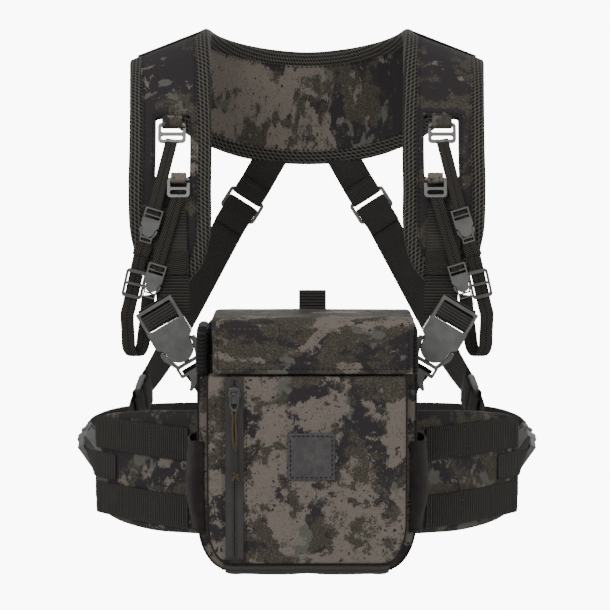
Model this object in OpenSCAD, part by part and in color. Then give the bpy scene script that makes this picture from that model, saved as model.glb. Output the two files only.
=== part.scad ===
// Binocular harness pack: a lidded chest pack on a padded yoke harness with a
// waist belt. Units are millimetres. X runs across the wearer, the front of the
// pack faces -Y and +Z is up. The origin is midway between the two shoulder
// crests, at the level where the pads rest on the wearer.

/* [Pack] */
// Half width of the pack body
body_half = 79; // [74:1:84]
// Height of the pack body's rim
rim_z = -226; // [-230:1:-222]
// Underside of the pack body
floor_z = -369; // [-380:1:-360]
// Face that lies on the wearer's chest
chest_y = -104; // [-106:0.5:-102]
// Front wall of the pack body
body_front_y = -172; // [-175:1:-169]
// Front face of the zipped pocket
pocket_y = -186; // [-188:0.5:-184]
// Thickness of the padded walls
wall = 3.5; // [2.5:0.5:4]

/* [Lid] */
// Half width of the lid
lid_half = 72; // [68:1:74]
// How far the lid sits off centre
lid_shift = 4; // [0:1:4]
// Top of the lid
lid_top_z = -186; // [-188:1:-184]
// Thickness of the lid's panels
lid_t = 4; // [3:0.5:5]

/* [Webbing] */
// Width of the load webbing
web_w = 25; // [20:1:26]
// Thickness of the load webbing
web_t = 1.6; // [1.2:0.1:1.8]
// Width of the tether webbing
tether_w = 10; // [8:0.5:11]

/* [Pads] */
// Thickness of the shoulder pads and yoke
pad_t = 9; // [7:0.5:10]
// Thickness of the belt wings
wing_t = 9; // [7:0.5:10]

/* [Hidden] */

gap = 0.3;                  // clearance between pieces that lie on each other
camo = [0.30, 0.28, 0.25];
mesh = [0.14, 0.14, 0.13];
webbing = [0.13, 0.13, 0.12];
plastic = [0.30, 0.30, 0.29];
stretch = [0.10, 0.10, 0.10];
hide = [0.22, 0.21, 0.21];

// ---------------------------------------------------------------- functions

function unit(v) = v / norm(v);
function spline(a, b, c, d, t) = 0.5 * (2 * b + (c - a) * t
    + (2 * a - 5 * b + 4 * c - d) * t * t + (3 * b - a - 3 * c + d) * t * t * t);
// Smooth curve through every item of a list, with k steps between items.
function smooth(l, k) = let (n = len(l) - 1) [for (i = [0:n - 1], j = [0:k - 1])
    spline(i > 0 ? l[i - 1] : 2 * l[0] - l[1], l[i], l[i + 1],
        i < n - 1 ? l[i + 2] : 2 * l[n] - l[n - 1], j / k), l[n]];
function tangent(p, i) = unit(p[min(i + 1, len(p) - 1)] - p[max(i - 1, 0)]);
// Width directions of a band that follows p and whose face looks along n.
function across(p, n) = [for (i = [0:len(p) - 1]) unit(cross(n[i], tangent(p, i)))];
function facing(p, w) = [for (i = [0:len(p) - 1]) unit(cross(tangent(p, i), w[i]))];
// The path p moved d along the faces of a band with width directions w.
function raised(p, w, d) = let (n = facing(p, w)) [for (i = [0:len(p) - 1]) p[i] + n[i] * d];
function reach(l, from, to) = [for (i = [from:to]) l[i]];
function even(v, n) = [for (i = [0:n - 1]) v];
// Quarter arc of an ellipse about c, from angle a to angle b.
function arc(c, rx, ry, a, b, n = 10) =
    [for (i = [0:n]) let (t = a + (b - a) * i / n) c + [rx * cos(t), ry * sin(t)]];

// Sections of a strap, a cloth face and a pad with rolled edges, in halves of width and thickness.
strap_section = [[1, 1], [-1, 1], [-1, -1], [1, -1]];
face_steps = [1, 0.5, 0, -0.5, -1];
cloth_section = concat([for (s = face_steps) [s, 1]], [for (s = face_steps) [-s, -1]]);
edge_in = 0.93;
pad_section = concat([[1, 0.35]], [for (s = face_steps) [s * edge_in, 1]], [[-1, 0.35]],
    [[-1, -0.35]], [for (s = face_steps) [-s * edge_in, -1]], [[1, -0.35]]);

// ---------------------------------------------------------------- generic shapes

// Band swept along p: w holds its width directions, widths its widths, t its thickness.
module band(p, w, widths, t, section = strap_section) {
    m = len(section);
    k = len(p);
    n = facing(p, w);
    polyhedron(
        points = [for (i = [0:k - 1], s = section)
            p[i] + w[i] * s[0] * widths[i] / 2 + n[i] * s[1] * t / 2],
        faces = concat(
            [for (i = [0:k - 2], j = [0:m - 1], h = [0, 1]) let (a = i * m + j,
                b = i * m + (j + 1) % m, c = a + m, d = b + m) h == 0 ? [a, c, b] : [b, c, d]],
            [[for (j = [0:m - 1]) j]],
            [[for (j = [m - 1:-1:0]) (k - 1) * m + j]]),
        convexity = 6);
}

// Outline in X and Z extruded between two depths.
module front_slab(y0, y1) translate([0, y1, 0]) rotate([90, 0, 0]) linear_extrude(y1 - y0) children();
// Outline in Y and Z extruded between two widths.
module side_slab(x0, x1) translate([x0, 0, 0]) rotate([90, 0, 90]) linear_extrude(x1 - x0) children();
module both_sides() {
    children();
    mirror([1, 0, 0]) children();
}
module block(lo, hi) translate(lo) cube(hi - lo);
// Rectangle from lo to hi with round corners.
module soft_rect(lo, hi, r) hull() for (x = [lo[0] + r, hi[0] - r], y = [lo[1] + r, hi[1] - r])
    translate([x, y]) circle(r, $fn = 20);
// Flat outline in local X and Z, t thick about Y.
module upright(t) rotate([90, 0, 0]) linear_extrude(t, center = true) children();

// Front outline with round lower corners.
module bag_outline(half, top, bottom, rx, rz) polygon(concat(
    [[half, top], [-half, top]],
    arc([-half + rx, bottom + rz], rx, rz, 180, 270),
    arc([half - rx, bottom + rz], rx, rz, 270, 360)));
// Plan outline with round corners at the back.
module plan_outline(half, front, back, r) polygon(concat(
    [[-half, front], [half, front]],
    arc([half - r, back - r], r, r, 0, 90, 8),
    arc([-half + r, back - r], r, r, 90, 180, 8)));

// ---------------------------------------------------------------- pack

panel_t = 8;
inner_y = chest_y - panel_t;        // front face of the back panel
corner_x = 22;
corner_z = 36;
back_round = 24;                // corner between the side walls and the back panel
lining_t = 1.5;

// Body volume drawn in by d on every side.
module body_volume(d, top, back = 0) intersection() {
    front_slab(body_front_y + d, inner_y)
        bag_outline(body_half - d, top, floor_z + d, corner_x - d / 2, corner_z - d / 2);
    translate([0, 0, floor_z - 1]) linear_extrude(top - floor_z + 2)
        plan_outline(body_half - d, body_front_y + d, inner_y + back, back_round - d);
}
module pack_shell() color(camo) difference() {
    body_volume(0, rim_z);
    body_volume(wall, rim_z + 1, wall);
}
module pack_lining() color(mesh) difference() {
    body_volume(wall + gap, rim_z - 2, wall + gap);
    translate([0, 0, 4]) body_volume(wall + gap + lining_t, rim_z, wall + gap + lining_t);
    front_slab(inner_y - gap, inner_y + 1) square([400, 1000], center = true);
}
magnet = [26, 5, 2];
magnet_y = -108;
panel_top_z = -192;
module back_panel() color(mesh) difference() {
    front_slab(inner_y, chest_y) bag_outline(74, panel_top_z, floor_z, corner_x, corner_z);
    translate([0, magnet_y, panel_top_z]) cube([magnet.x + 0.4, magnet.y + 0.4, 5], center = true);
}
module body_magnet() color("silver")
    translate([0, magnet_y, panel_top_z - 1.2]) cube(magnet, center = true);

gusset_half = 78.5;
gusset_y = [-171, -125.5];
gusset_t = 5;                   // thickness of the ears
gusset_front_t = 3;             // thickness of the low wall between them
gusset_low = -212;              // top of the low wall
module rim_gusset() color(stretch) difference() {
    side_slab(-gusset_half, gusset_half) polygon(concat(
        [[gusset_y[1], rim_z + gap], [gusset_y[0], rim_z + gap]],
        arc([-155, -211], 16, 17, 180, 90),
        arc([-139.5, -208], 14, 14, 90, 0, 6)));
    // the space between the ears, and the opening above the low front wall
    block([gusset_t - gusset_half, gusset_y[0] + gusset_front_t, rim_z - 1],
        [gusset_half - gusset_t, 0, 0]);
    block([gusset_t - gusset_half, gusset_y[0] - 1, gusset_low], [gusset_half - gusset_t, 0, 0]);
}

pocket_bottom = -362;
module front_pocket() color(camo) difference() {
    front_slab(pocket_y, body_front_y - gap)
        bag_outline(71, rim_z - gap, pocket_bottom, 16, 30);
    front_slab(pocket_y + 2, body_front_y + 1)
        bag_outline(68.5, rim_z - 3, pocket_bottom + 2.5, 14, 28);
}

zip_x = -51.5;
tape_w = 13;
zip_top = rim_z - 1;
zip_low = -358;
tape_y = pocket_y - gap;
module zip_tape() color(webbing) {
    block([zip_x - tape_w / 2, tape_y - 0.7, zip_low], [zip_x + tape_w / 2, tape_y, zip_top]);
    block([zip_x - 1.6, tape_y - 1.3, zip_low + 2], [zip_x + 1.6, tape_y - 0.7, zip_top - 2]);
}

slider_z = -240;
slider_y = tape_y - 1.3 - gap;
pin_y = slider_y - 4.5;
pin_z = slider_z + 1;
pin_r = 0.8;
module zip_slider() color(plastic) {
    front_slab(slider_y - 2, slider_y) translate([zip_x, slider_z])
        polygon([[-3, -6], [3, -6], [4.6, 0], [4, 5], [0, 6], [-4, 5], [-4.6, 0]]);
    both_cheeks() translate([zip_x + 2.5, slider_y - 5.7, pin_z - 1.8]) cube([1.2, 3.8, 3.6]);
    translate([zip_x - 3.7, pin_y, pin_z]) rotate([0, 90, 0]) cylinder(h = 7.4, r = pin_r, $fn = 24);
}
module both_cheeks() {
    children();
    translate([2 * zip_x, 0, 0]) mirror([1, 0, 0]) children();
}
pull_len = 62;
module zip_pull() color([0.32, 0.25, 0.17]) {
    translate([zip_x - 2.2, pin_y, pin_z]) rotate([0, 90, 0]) difference() {
        cylinder(h = 4.4, r = 2, $fn = 24);
        translate([0, 0, -1]) cylinder(h = 7, r = pin_r + 0.08, $fn = 24);
    }
    block([zip_x - 2.2, pin_y - 0.8, pin_z - 14], [zip_x + 2.2, pin_y + 0.8, pin_z - 1.6]);
    block([zip_x - 1.6, pin_y - 1, pin_z - pull_len], [zip_x + 1.6, pin_y + 1, pin_z - 14]);
}

patch_size = 34;
patch_x = 3;
patch_z = -284;
module leather_patch() color(hide)
    block([patch_x - patch_size / 2, pocket_y - gap - 1.6, patch_z - patch_size / 2],
        [patch_x + patch_size / 2, pocket_y - gap, patch_z + patch_size / 2]);

// Side pocket: a bulge outside the body's side wall, open at its top.
pocket_top = -275;
side_bulge = 9;
side_y = [-166, -124];
knit_t = 1.6;
module beyond(x) translate([x, -500]) square([60, 300]);
module side_pocket() difference() {
    front_slab(side_y[0], side_y[1]) intersection() {
        bag_outline(body_half + side_bulge, pocket_top, floor_z + 4, corner_x + 4, corner_z + 4);
        beyond(60);
    }
    body_volume(-gap, rim_z);
    front_slab(side_y[0] + knit_t, side_y[1] - knit_t) intersection() {
        bag_outline(body_half + side_bulge - knit_t, pocket_top + 1, floor_z + 7,
            corner_x + 4, corner_z + 4);
        beyond(body_half - 2);
    }
}

strip_half = 59;
strip_y = -176;
strip_z = -369.6;
strip_slope = [0, 0.92, -0.39];
module base_strip() color(webbing) {
    xs = [-strip_half, -46, -40, -18, 0, 18, 40, 46, strip_half];
    sag = [0, 0, 1.2, 1.2, 0, 1.2, 1.2, 0, 0];
    out = [0, -0.39, -0.92];
    band([for (i = [0:8]) [xs[i], strip_y, strip_z] + out * sag[i]],
        even(unit(strip_slope), 9), even(24, 9), web_t);
}

// ---------------------------------------------------------------- lid

lid_back_y = -106;
module lid_shell() color(camo) difference() {
    side_slab(lid_shift - lid_half, lid_shift + lid_half) polygon(concat(
        [[pocket_y, rim_z + gap], [pocket_y + lid_t, rim_z + gap]],
        [[pocket_y + lid_t, lid_top_z - lid_t - 4], [pocket_y + lid_t + 4, lid_top_z - lid_t]],
        [[lid_back_y, lid_top_z - lid_t], [lid_back_y, lid_top_z]],
        arc([pocket_y + 7, lid_top_z - 7], 7, 7, 90, 180, 8)));
    translate([0, magnet_y, lid_top_z - lid_t + 1])
        cube([magnet.x + 0.4, magnet.y - 0.6, 3.2], center = true);
}
module lid_magnet() color("silver")
    translate([0, magnet_y, lid_top_z - lid_t + 1.3])
        cube([magnet.x, magnet.y - 1, magnet.z], center = true);
tab_w = 20;
tab_x = 4;
tab_rise = 14;
module pull_tab() color(webbing)
    block([tab_x - tab_w / 2, lid_back_y + gap, lid_top_z - lid_t],
        [tab_x + tab_w / 2, lid_back_y + gap + web_t, lid_top_z + tab_rise]);

// ---------------------------------------------------------------- yoke

// Neck edge and shoulder-blade edge of the yoke, from the right crest to the middle of the back.
yoke_neck = [[74, 0, 18], [75, 24, 21], [68, 54, 17], [51, 80, 12], [27, 95, 8], [0, 100, 6]];
yoke_low = [[136, 0, -6], [134, 32, -16], [121, 62, -38], [96, 86, -62], [54, 101, -80],
    [0, 106, -86]];
function across_x(l) = [for (p = l) [-p[0], p[1], p[2]]];
function backward(l) = [for (i = [len(l) - 1:-1:0]) l[i]];
function whole(l) = concat(l, backward(across_x(reach(l, 0, len(l) - 2))));
yoke_steps = 5;
neck_line = smooth(whole(yoke_neck), yoke_steps);
low_line = smooth(whole(yoke_low), yoke_steps);
yoke_p = [for (i = [0:len(neck_line) - 1]) (neck_line[i] + low_line[i]) / 2];
yoke_w = [for (i = [0:len(neck_line) - 1]) unit(low_line[i] - neck_line[i])];
yoke_h = [for (i = [0:len(neck_line) - 1]) norm(low_line[i] - neck_line[i])];

module yoke_pad() color(mesh) band(yoke_p, yoke_w, yoke_h, pad_t, pad_section);
face_t = 1;
face_gap = 0.5;
face_inset = 10;                // width of the spacer mesh left bare along an edge
module yoke_face(side) color(camo) {
    d = side * (pad_t / 2 + face_gap + face_t / 2);
    q = raised(yoke_p, yoke_w, d);
    n = len(q) - 2;
    band(reach(q, 1, n), reach(yoke_w, 1, n), [for (i = [1:n]) yoke_h[i] - 2 * face_inset], face_t,
        cloth_section);
}
module yoke_patch() color(hide) {
    c = [0, 104 + pad_t / 2 + 3.2, -38];
    translate(c) rotate([3.5, 0, 0]) cube([40, 1.4, 42], center = true);
}

// ---------------------------------------------------------------- shoulder pads

// Centre line of the right pad, from its crest down the chest, with its faces' normals.
pad_line = [[105, -1.6, 6], [105, -16, 4], [104, -36, -9], [103, -56, -34], [102, -73, -65],
    [102, -86, -98], [101, -96, -130], [100, -102, -154], [99, -104, -168]];
pad_face = [[0.36, 0, 0.93], [0.33, -0.35, 0.87], [0.24, -0.75, 0.62], [0.1, -0.92, 0.4],
    [0, -0.93, 0.36], [0, -0.95, 0.3], [0, -0.97, 0.22], [0, -1, 0.1], [0, -1, 0.04]];
pad_width = [66.5, 66, 64, 62, 62, 62, 60, 46, 22];
pad_steps = 4;
pad_p = smooth(pad_line, pad_steps);
pad_w = across(pad_p, smooth(pad_face, pad_steps));
pad_h = smooth(pad_width, pad_steps);

module window() block([89, -120, -90], [113, -30, -46]);
module shoulder_pad() color(mesh) difference() {
    band(pad_p, pad_w, pad_h, pad_t, pad_section);
    window();
}
module shoulder_face() color(camo) difference() {
    q = raised(pad_p, pad_w, pad_t / 2 + face_gap + face_t / 2);
    n = len(q) - 2;
    band(reach(q, 0, n), reach(pad_w, 0, n), [for (i = [0:n]) pad_h[i] - 2 * face_inset + 2], face_t,
        cloth_section);
    window();
}

// Load webbing sewn to the pad's face, down to the main buckle.
web_from = 22;
web_lift = pad_t / 2 + face_gap + gap + face_t + web_t / 2;
web_to = 8 * pad_steps;
strap_on_pad = raised(reach(pad_p, web_from, web_to), reach(pad_w, web_from, web_to), web_lift);
strap_tail = [[98.5, -112, -178], [98, -112, -190]];
strap_p = concat(strap_on_pad, strap_tail);
strap_w = even([1, 0, 0], len(strap_p));
module strap_web() color(webbing) band(strap_p, strap_w, even(web_w, len(strap_p)), web_t);
module strap_keeper() color(stretch) {
    q = reach(raised(strap_p, strap_w, web_t / 2 + gap + 0.4), 3, 6);
    band(q, even([1, 0, 0], 4), even(web_w, 4), 0.8);
}

// ---------------------------------------------------------------- hooks and tethers

// Placement on the pad at height z: position of its face and the lean of the face there.
function pad_at(z, i = 0) = pad_p[i + 1][2] > z ? pad_at(z, i + 1)
    : let (t = (pad_p[i][2] - z) / (pad_p[i][2] - pad_p[i + 1][2]))
        pad_p[i] + (pad_p[i + 1] - pad_p[i]) * t;
hook_t = 2.4;
hook_high = [101, pad_at(-56)[1] - 1, -56];
hook_low = [95, pad_at(-96)[1] - 10.6, -96];
hook_high_half = 10.5;
hook_low_half = 8.5;
hook_lean = 22;

// Flat metal hook of half width w, with an open gate on one side.
hook_bar = 2.4;
module g_hook(w) rotate([-hook_lean, 0, 0]) upright(hook_t) difference() {
    soft_rect([-w, -9], [w, 6.8], 3);
    soft_rect([hook_bar - w, -6.6], [w - hook_bar, -3.2], 1.6);
    soft_rect([hook_bar - w, -0.8], [w - hook_bar, 6.8 - hook_bar], 1.2);
    translate([-w - 1, 2.6]) square([w, 1.8]);
}
module g_hooks() color("silver") both_sides() {
    translate(hook_high) g_hook(hook_high_half);
    translate(hook_low) g_hook(hook_low_half);
}
// Fabric loop round a hook's top bar.
module hook_tab(w, rise) rotate([-hook_lean, 0, 0]) difference() {
    translate([-w, -3.4, 2.6]) cube([2 * w, 6.8, rise]);
    translate([-w - 1, -2, 3.9]) cube([2 * w + 2, 4, 3.6]);
}
module hook_tabs() color(camo) both_sides() {
    translate(hook_high) hook_tab(hook_high_half - 3, 6.6);
    translate(hook_low) hook_tab(hook_low_half - 2.8, 7);
}

// Side-release buckle for load webbing. Local Z runs from the plug up to the socket's strap bar.
buckle_half = 15;
buckle_t = 9;
module buckle_socket() color(plastic) {
    difference() {
        union() {
            rotate([90, 0, 0]) linear_extrude(buckle_t, center = true) polygon(concat(
                [[buckle_half, 12.5], [buckle_half, 0.5], [14, -1.6], [11.6, -3.2], [10.4, -5.6]],
                arc([0, -9], 10, 9, 0, -180, 14),
                [[-10.4, -5.6], [-11.6, -3.2], [-14, -1.6], [-buckle_half, 0.5], [-buckle_half, 12.5]]));
            for (s = [-1, 1]) translate([s * 13.6 - 1.2, -2.4, 12]) cube([2.4, 4.8, 17.5]);
            translate([-14.8, -2.4, 27]) cube([29.6, 4.8, 2.5]);
            translate([-14, -1.5, 17]) cube([28, 3, 2.2]);
        }
        translate([-12.6, -2.9, -30]) cube([25.2, 5.8, 38.5]);
    }
}
module buckle_plug() color(plastic) {
    upright(5) difference() {
        soft_rect([-10, -28], [10, -18.5], 1.4);
        soft_rect([-8.4, -25.8], [8.4, -21], 1);
    }
    translate([-2, -2.2, -19]) cube([4, 4.4, 24]);
    for (s = [0, 1]) mirror([s, 0, 0]) upright(4.6)
        polygon([[7.4, -19], [9.8, -19], [14.6, -10], [14.8, -6], [14.2, -4.6], [12.2, -4.2], [9.5, 4],
            [8, 4], [10.5, -1], [11, -8]]);
}
// Lever on the plug's end bar that the wearer pulls to slacken the webbing.
lever_t = 2;
module pull_lever() color(plastic) translate([0, lever_t / 2 - 2.5, 0]) upright(lever_t)
    polygon([[-4, -27.6], [4, -27.6], [4.6, -31], [6.6, -34.5], [9.4, -37.6], [8.6, -39.4], [5.4, -38.4],
        [1.4, -35.2], [-2.4, -31.4]]);
module main_plug() {
    buckle_plug();
    pull_lever();
}
buckle_tilt = 31;
buckle_at = [97.5, -121.5, -207];
module at_buckle() translate(buckle_at) rotate([0, buckle_tilt, 0]) children();
// The strap's end, folded round the socket's middle bar.
module strap_loop() color(webbing) at_buckle() {
    p = smooth([[0, 3.6, 31], [0, 3.6, 25], [0, 3, 19.5], [0, 1.4, 15.4], [0, -1.6, 15.4],
        [0, -3, 19.5], [0, -2.6, 25.5]], 2);
    band(p, even([1, 0, 0], len(p)), even(22, len(p)), 1.2);
}
// Short webbing from the plug's bar down into the seam behind the pack's side.
module pack_web() color(webbing) {
    p = smooth([[85.6, -121, -226.8], [83.4, -117.9, -230.2], [79, -115.4, -236], [75.5, -113.6, -242],
        [72, -112.9, -248]], 2);
    band(p, even(unit([0.86, 0, -0.51]), len(p)), even(15, len(p)), 1.2);
}

// Small side-release buckles of the tether, and the webbing loop that hangs between them.
socket_scale = 0.45;
tether_lean = 17;
lean_axis = [-sin(tether_lean), 0, cos(tether_lean)];
socket_high = [115.6, -109, -124.6];
socket_low = [113, -114.7, -165];
module at_socket(c) translate(c) rotate([0, -tether_lean, 0]) scale(socket_scale) children();
module tether_sockets() {
    at_socket(socket_high) buckle_socket();
    at_socket(socket_low) buckle_socket();
}
module tether_plugs() {
    at_socket(socket_high) buckle_plug();
    at_socket(socket_low) buckle_plug();
}
function socket_bar(c) = c + socket_scale * 18 * lean_axis;
function plug_bar(c) = c - socket_scale * 23.5 * lean_axis;
module tether_strap(hook, socket, bow) {
    a = hook + [0, -2, -6];
    b = socket_bar(socket);
    mid = (a + b) / 2 + [0, bow, 0];
    p = smooth([a, mid, b], 4);
    band(p, across(p, even([0, -1, 0.3], len(p))), even(tether_w - 1.4, len(p)), 1.6);
}
module tether_straps() color(webbing) {
    tether_strap(hook_high, socket_high, -3);
    tether_strap(hook_low, socket_low, -2);
}
// The loop's outer run is straight where the tri-glide slides.
run_y = -110;
run_lean = 12.8;
run_axis = [-sin(run_lean), 0, cos(run_lean)];
triglide_at = [127.2, run_y, -167];
function on_run(d) = triglide_at + run_axis * d;
loop_line = [plug_bar(socket_high) + [0, 0.4, 0], [120, -109.6, -139.5], on_run(23), on_run(17),
    on_run(-16), on_run(-24), [132, run_y, -203], [131.4, -110.4, -214], [128.6, -109.4, -219.6],
    [124.6, -106.6, -219.6], [121.6, -105.2, -213], [120, -105.6, -202], [118.2, -107.4, -190],
    [117.2, -111.6, -180], plug_bar(socket_low) + [0, 0.4, 0]];
module tether_loop() color(webbing) {
    p = smooth(loop_line, 2);
    half = len(p) / 2;
    // the outer run leans with the tri-glide and the inner run a little the other way
    w = [for (i = [0:len(p) - 1]) let (a = i < half ? run_lean * (1 - max(0, i - 12) / 6) : -6)
        [cos(a), 0, sin(a)]];
    band(p, w, even(tether_w, len(p)), 1.2);
}
module triglide() color(plastic) translate(triglide_at) rotate([0, -run_lean, 0]) {
    difference() {
        upright(4.8) soft_rect([-7.6, -10.5], [7.6, 10.5], 2.4);
        translate([-5.8, -1.2, -12]) cube([11.6, 2.4, 24]);
        upright(10) soft_rect([-5.8, -8], [5.8, 8], 1);
    }
    translate([-6.6, -2.3, -1]) cube([13.2, 0.9, 2]);
}

// ---------------------------------------------------------------- back straps

// Ladder lock: a frame with a middle bar; local X is its width and Z runs along the strap.
module ladder_lock() upright(4.4) difference() {
    soft_rect([-16, -10], [16, 10], 3.6);
    soft_rect([-13.2, -7.6], [13.2, -1.2], 1.2);
    soft_rect([-13.2, 1.2], [13.2, 7.6], 1.2);
}
// Places a lock at c, its width along x and its straps' run along z.
module aligned(c, x, z) {
    y = cross(z, x);
    multmatrix([[x[0], y[0], z[0], c[0]], [x[1], y[1], z[1], c[1]], [x[2], y[2], z[2], c[2]],
        [0, 0, 0, 1]]) children();
}
function in_lock(c, x, z, y, along) = c + cross(z, x) * y + z * along;
lock_high = [53, 103, -119];
high_run = unit([-0.5, 0.06, 0.78]);
high_across = unit(cross([0, 1, -0.08], high_run));
lock_low = [130, 20, -267];
low_run = unit([-0.2, 0.86, 0.48]);
low_across = unit(cross([1, 0.2, 0], low_run));
module ladder_locks() color(plastic) both_sides() {
    aligned(lock_high, high_across, high_run) ladder_lock();
    aligned(lock_low, low_across, low_run) ladder_lock();
}
// A strap's end comes over the lock's end bar and dips through its slot; s picks the end.
function strap_end(c, x, z, s) = [in_lock(c, x, z, 2, 18 * s), in_lock(c, x, z, 3.7, 11 * s),
    in_lock(c, x, z, 3.2, 6.6 * s), in_lock(c, x, z, 0, 4.4 * s), in_lock(c, x, z, -3, 4 * s)];
module yoke_webs() color(webbing) both_sides() {
    p = smooth(concat([[33, 100.5, -86]], strap_end(lock_high, high_across, high_run, 1)), 2);
    band(p, even(high_across, len(p)), even(web_w, len(p)), web_t);
}
module back_strap() color(webbing) {
    high_end = strap_end(lock_high, high_across, high_run, -1);
    low_end = strap_end(lock_low, low_across, low_run, 1);
    between = [[76, 99, -160], [97, 87, -202], [115, 62, -238]];
    p = smooth(concat(backward(high_end), between, low_end), 3);
    k = len(p) - 1;
    // width direction: that of each lock at its end, turning smoothly between them
    w = [for (i = [0:k]) let (t = min(1, max(0, (i / k - 0.3) / 0.4)))
        unit(high_across * (1 - t) + low_across * t)];
    band(p, w, even(web_w, len(p)), web_t);
}
module hip_webs() color(webbing) both_sides() {
    low_end = strap_end(lock_low, low_across, low_run, -1);
    to_wing = [[136.4, -24, -283], [132, -44, -292], [126, -50.4, -297]];
    p = smooth(concat(backward(low_end), to_wing), 3);
    k = len(p) - 1;
    w = [for (i = [0:k]) let (t = min(1, max(0, (i / k - 0.4) / 0.4)))
        unit(low_across * (1 - t) + [0.1, 0.1, low_across[2] > 0 ? 1 : -1] * t)];
    band(p, w, even(web_w, len(p)), web_t);
}

// ---------------------------------------------------------------- waist belt

wing_line = [[78, -101, 0], [90, -92, 0], [116, -69, 0], [142, -42, 0], [157, -23, 0], [163, -14, 0]];
wing_high = [-262, -263, -266, -271, -276, -284];
wing_low = [-355, -356, -358, -356, -350, -340];
wing_steps = 4;
wing_p0 = smooth(wing_line, wing_steps);
wing_top = smooth(wing_high, wing_steps);
wing_bot = smooth(wing_low, wing_steps);
wing_p = [for (i = [0:len(wing_p0) - 1])
    [wing_p0[i][0], wing_p0[i][1], (wing_top[i] + wing_bot[i]) / 2]];
// Plan curve of the wing, raised d from its middle and set at height z.
function wing_at(d, z) = let (q = raised(wing_p0, even([0, 0, 1], len(wing_p0)), d))
    [for (p = q) [p[0], p[1], z]];
module belt_wing() color(camo) {
    q = [for (i = [0:len(wing_p0) - 1]) [wing_p0[i][0], wing_p0[i][1], 0]];
    n = facing(q, even([0, 0, 1], len(q)));
    m = len(pad_section);
    k = len(q);
    polyhedron(points = [for (i = [0:k - 1], s = pad_section)
            wing_p[i] + [0, 0, s[0] * (wing_top[i] - wing_bot[i]) / 2] + n[i] * s[1] * wing_t / 2],
        faces = concat(
            [for (i = [0:k - 2], j = [0:m - 1], h = [0, 1]) let (a = i * m + j,
                b = i * m + (j + 1) % m, c = a + m, d = b + m) h == 0 ? [a, c, b] : [b, c, d]],
            [[for (j = [0:m - 1]) j]], [[for (j = [m - 1:-1:0]) (k - 1) * m + j]]), convexity = 4);
}
row_z = [-288, -339];
function in_plan(l) = [for (p = l) [p[0], p[1]]];
module molle_rows() color(webbing) both_sides() for (z = row_z) {
    inner = reach(wing_at(wing_t / 2 + gap, z), 2, 19);
    outer = reach(wing_at(wing_t / 2 + gap + web_t, z), 2, 19);
    translate([0, 0, z - web_w / 2]) linear_extrude(web_w)
        polygon(concat(in_plan(inner), backward(in_plan(outer))));
}

belt_axis = unit([0, 0.95, 0.3]);
belt_across = unit(cross(cross(belt_axis, [0.5, 0, 0.86]), belt_axis));
belt_at = [171, 24, -306];
belt_scale = 0.9;
module at_belt() aligned(belt_at, belt_across, -belt_axis) scale(belt_scale) children();
module belt_webs() color(webbing) both_sides() {
    on_wing = wing_at(wing_t / 2 + gap + 0.7, -313.5);
    bar = belt_at - belt_axis * belt_scale * 18;
    p = concat(reach(on_wing, 15, 19), smooth([on_wing[20] + [0, 4, 0], [171.5, 3, -312], bar], 3));
    k = len(p) - 1;
    w = [for (i = [0:k]) let (t = max(0, i - 4) / (k - 4))
        unit([0, 0, 1] * (1 - t) + belt_across * t)];
    band(p, w, even(20, len(p)), 1.4);
}
module belt_plugs() both_sides() at_belt() buckle_plug();
rear_line = [[171, 46.5, -298.8], [167, 62, -296], [152, 88, -294], [122, 112, -294], [80, 126, -295],
    [38, 132, -296], [0, 133, -296]];
module rear_strap() color(webbing) {
    l = whole(rear_line);
    n = len(l) - 1;
    p = smooth(l, 3);
    k = len(p) - 1;
    // the band is upright round the back and leans with the buckles at its ends
    w = [for (i = [0:k]) let (t = min(i, k - i) / 6, f = max(0, 1 - t), s = i < k / 2 ? 1 : -1)
        unit([s * f * belt_across[0], f * belt_across[1], f * belt_across[2] + (1 - f)])];
    band(p, w, even(20, len(p)), web_t);
}

// ---------------------------------------------------------------- nodes

module left() mirror([1, 0, 0]) children();
yoke_pad();
yoke_face(-1);  // yoke_inner_face
yoke_face(1);  // yoke_outer_face
yoke_patch();
left() shoulder_pad();  // shoulder_pad_left
shoulder_pad();  // shoulder_pad_right
left() shoulder_face();  // shoulder_face_left
shoulder_face();  // shoulder_face_right
left() strap_web();  // strap_web_left
strap_web();  // strap_web_right
both_sides() strap_keeper();  // strap_keepers
hook_tabs();
g_hooks();
left() tether_straps();  // tether_straps_left
tether_straps();  // tether_straps_right
left() tether_sockets();  // tether_sockets_left
tether_sockets();  // tether_sockets_right
left() at_buckle() main_plug();  // buckle_plug_left
at_buckle() main_plug();  // buckle_plug_right
both_sides() pack_web();  // pack_webs
pack_shell();
back_panel();
pack_lining();
rim_gusset();
front_pocket();
zip_tape();
leather_patch();
left() side_pocket();  // side_pocket_left
side_pocket();  // side_pocket_right
base_strip();
body_magnet();
left() belt_wing();  // belt_wing_left
belt_wing();  // belt_wing_right
molle_rows();
belt_webs();
left() at_belt() buckle_socket();  // belt_socket_left
at_belt() buckle_socket();  // belt_socket_right
yoke_webs();
left() back_strap();  // back_strap_left
back_strap();  // back_strap_right
ladder_locks();
hip_webs();
lid_shell();
pull_tab();
lid_magnet();
zip_slider();
zip_pull();
left() at_buckle() buckle_socket();  // buckle_socket_left
at_buckle() buckle_socket();  // buckle_socket_right
left() strap_loop();  // strap_loop_left
strap_loop();  // strap_loop_right
left() tether_loop();  // tether_loop_left
tether_loop();  // tether_loop_right
left() tether_plugs();  // tether_plugs_left
tether_plugs();  // tether_plugs_right
left() triglide();  // triglide_left
triglide();  // triglide_right
rear_strap();
belt_plugs();
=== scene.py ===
import math

import bmesh
import bpy
from mathutils import Matrix, Vector, noise


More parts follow.
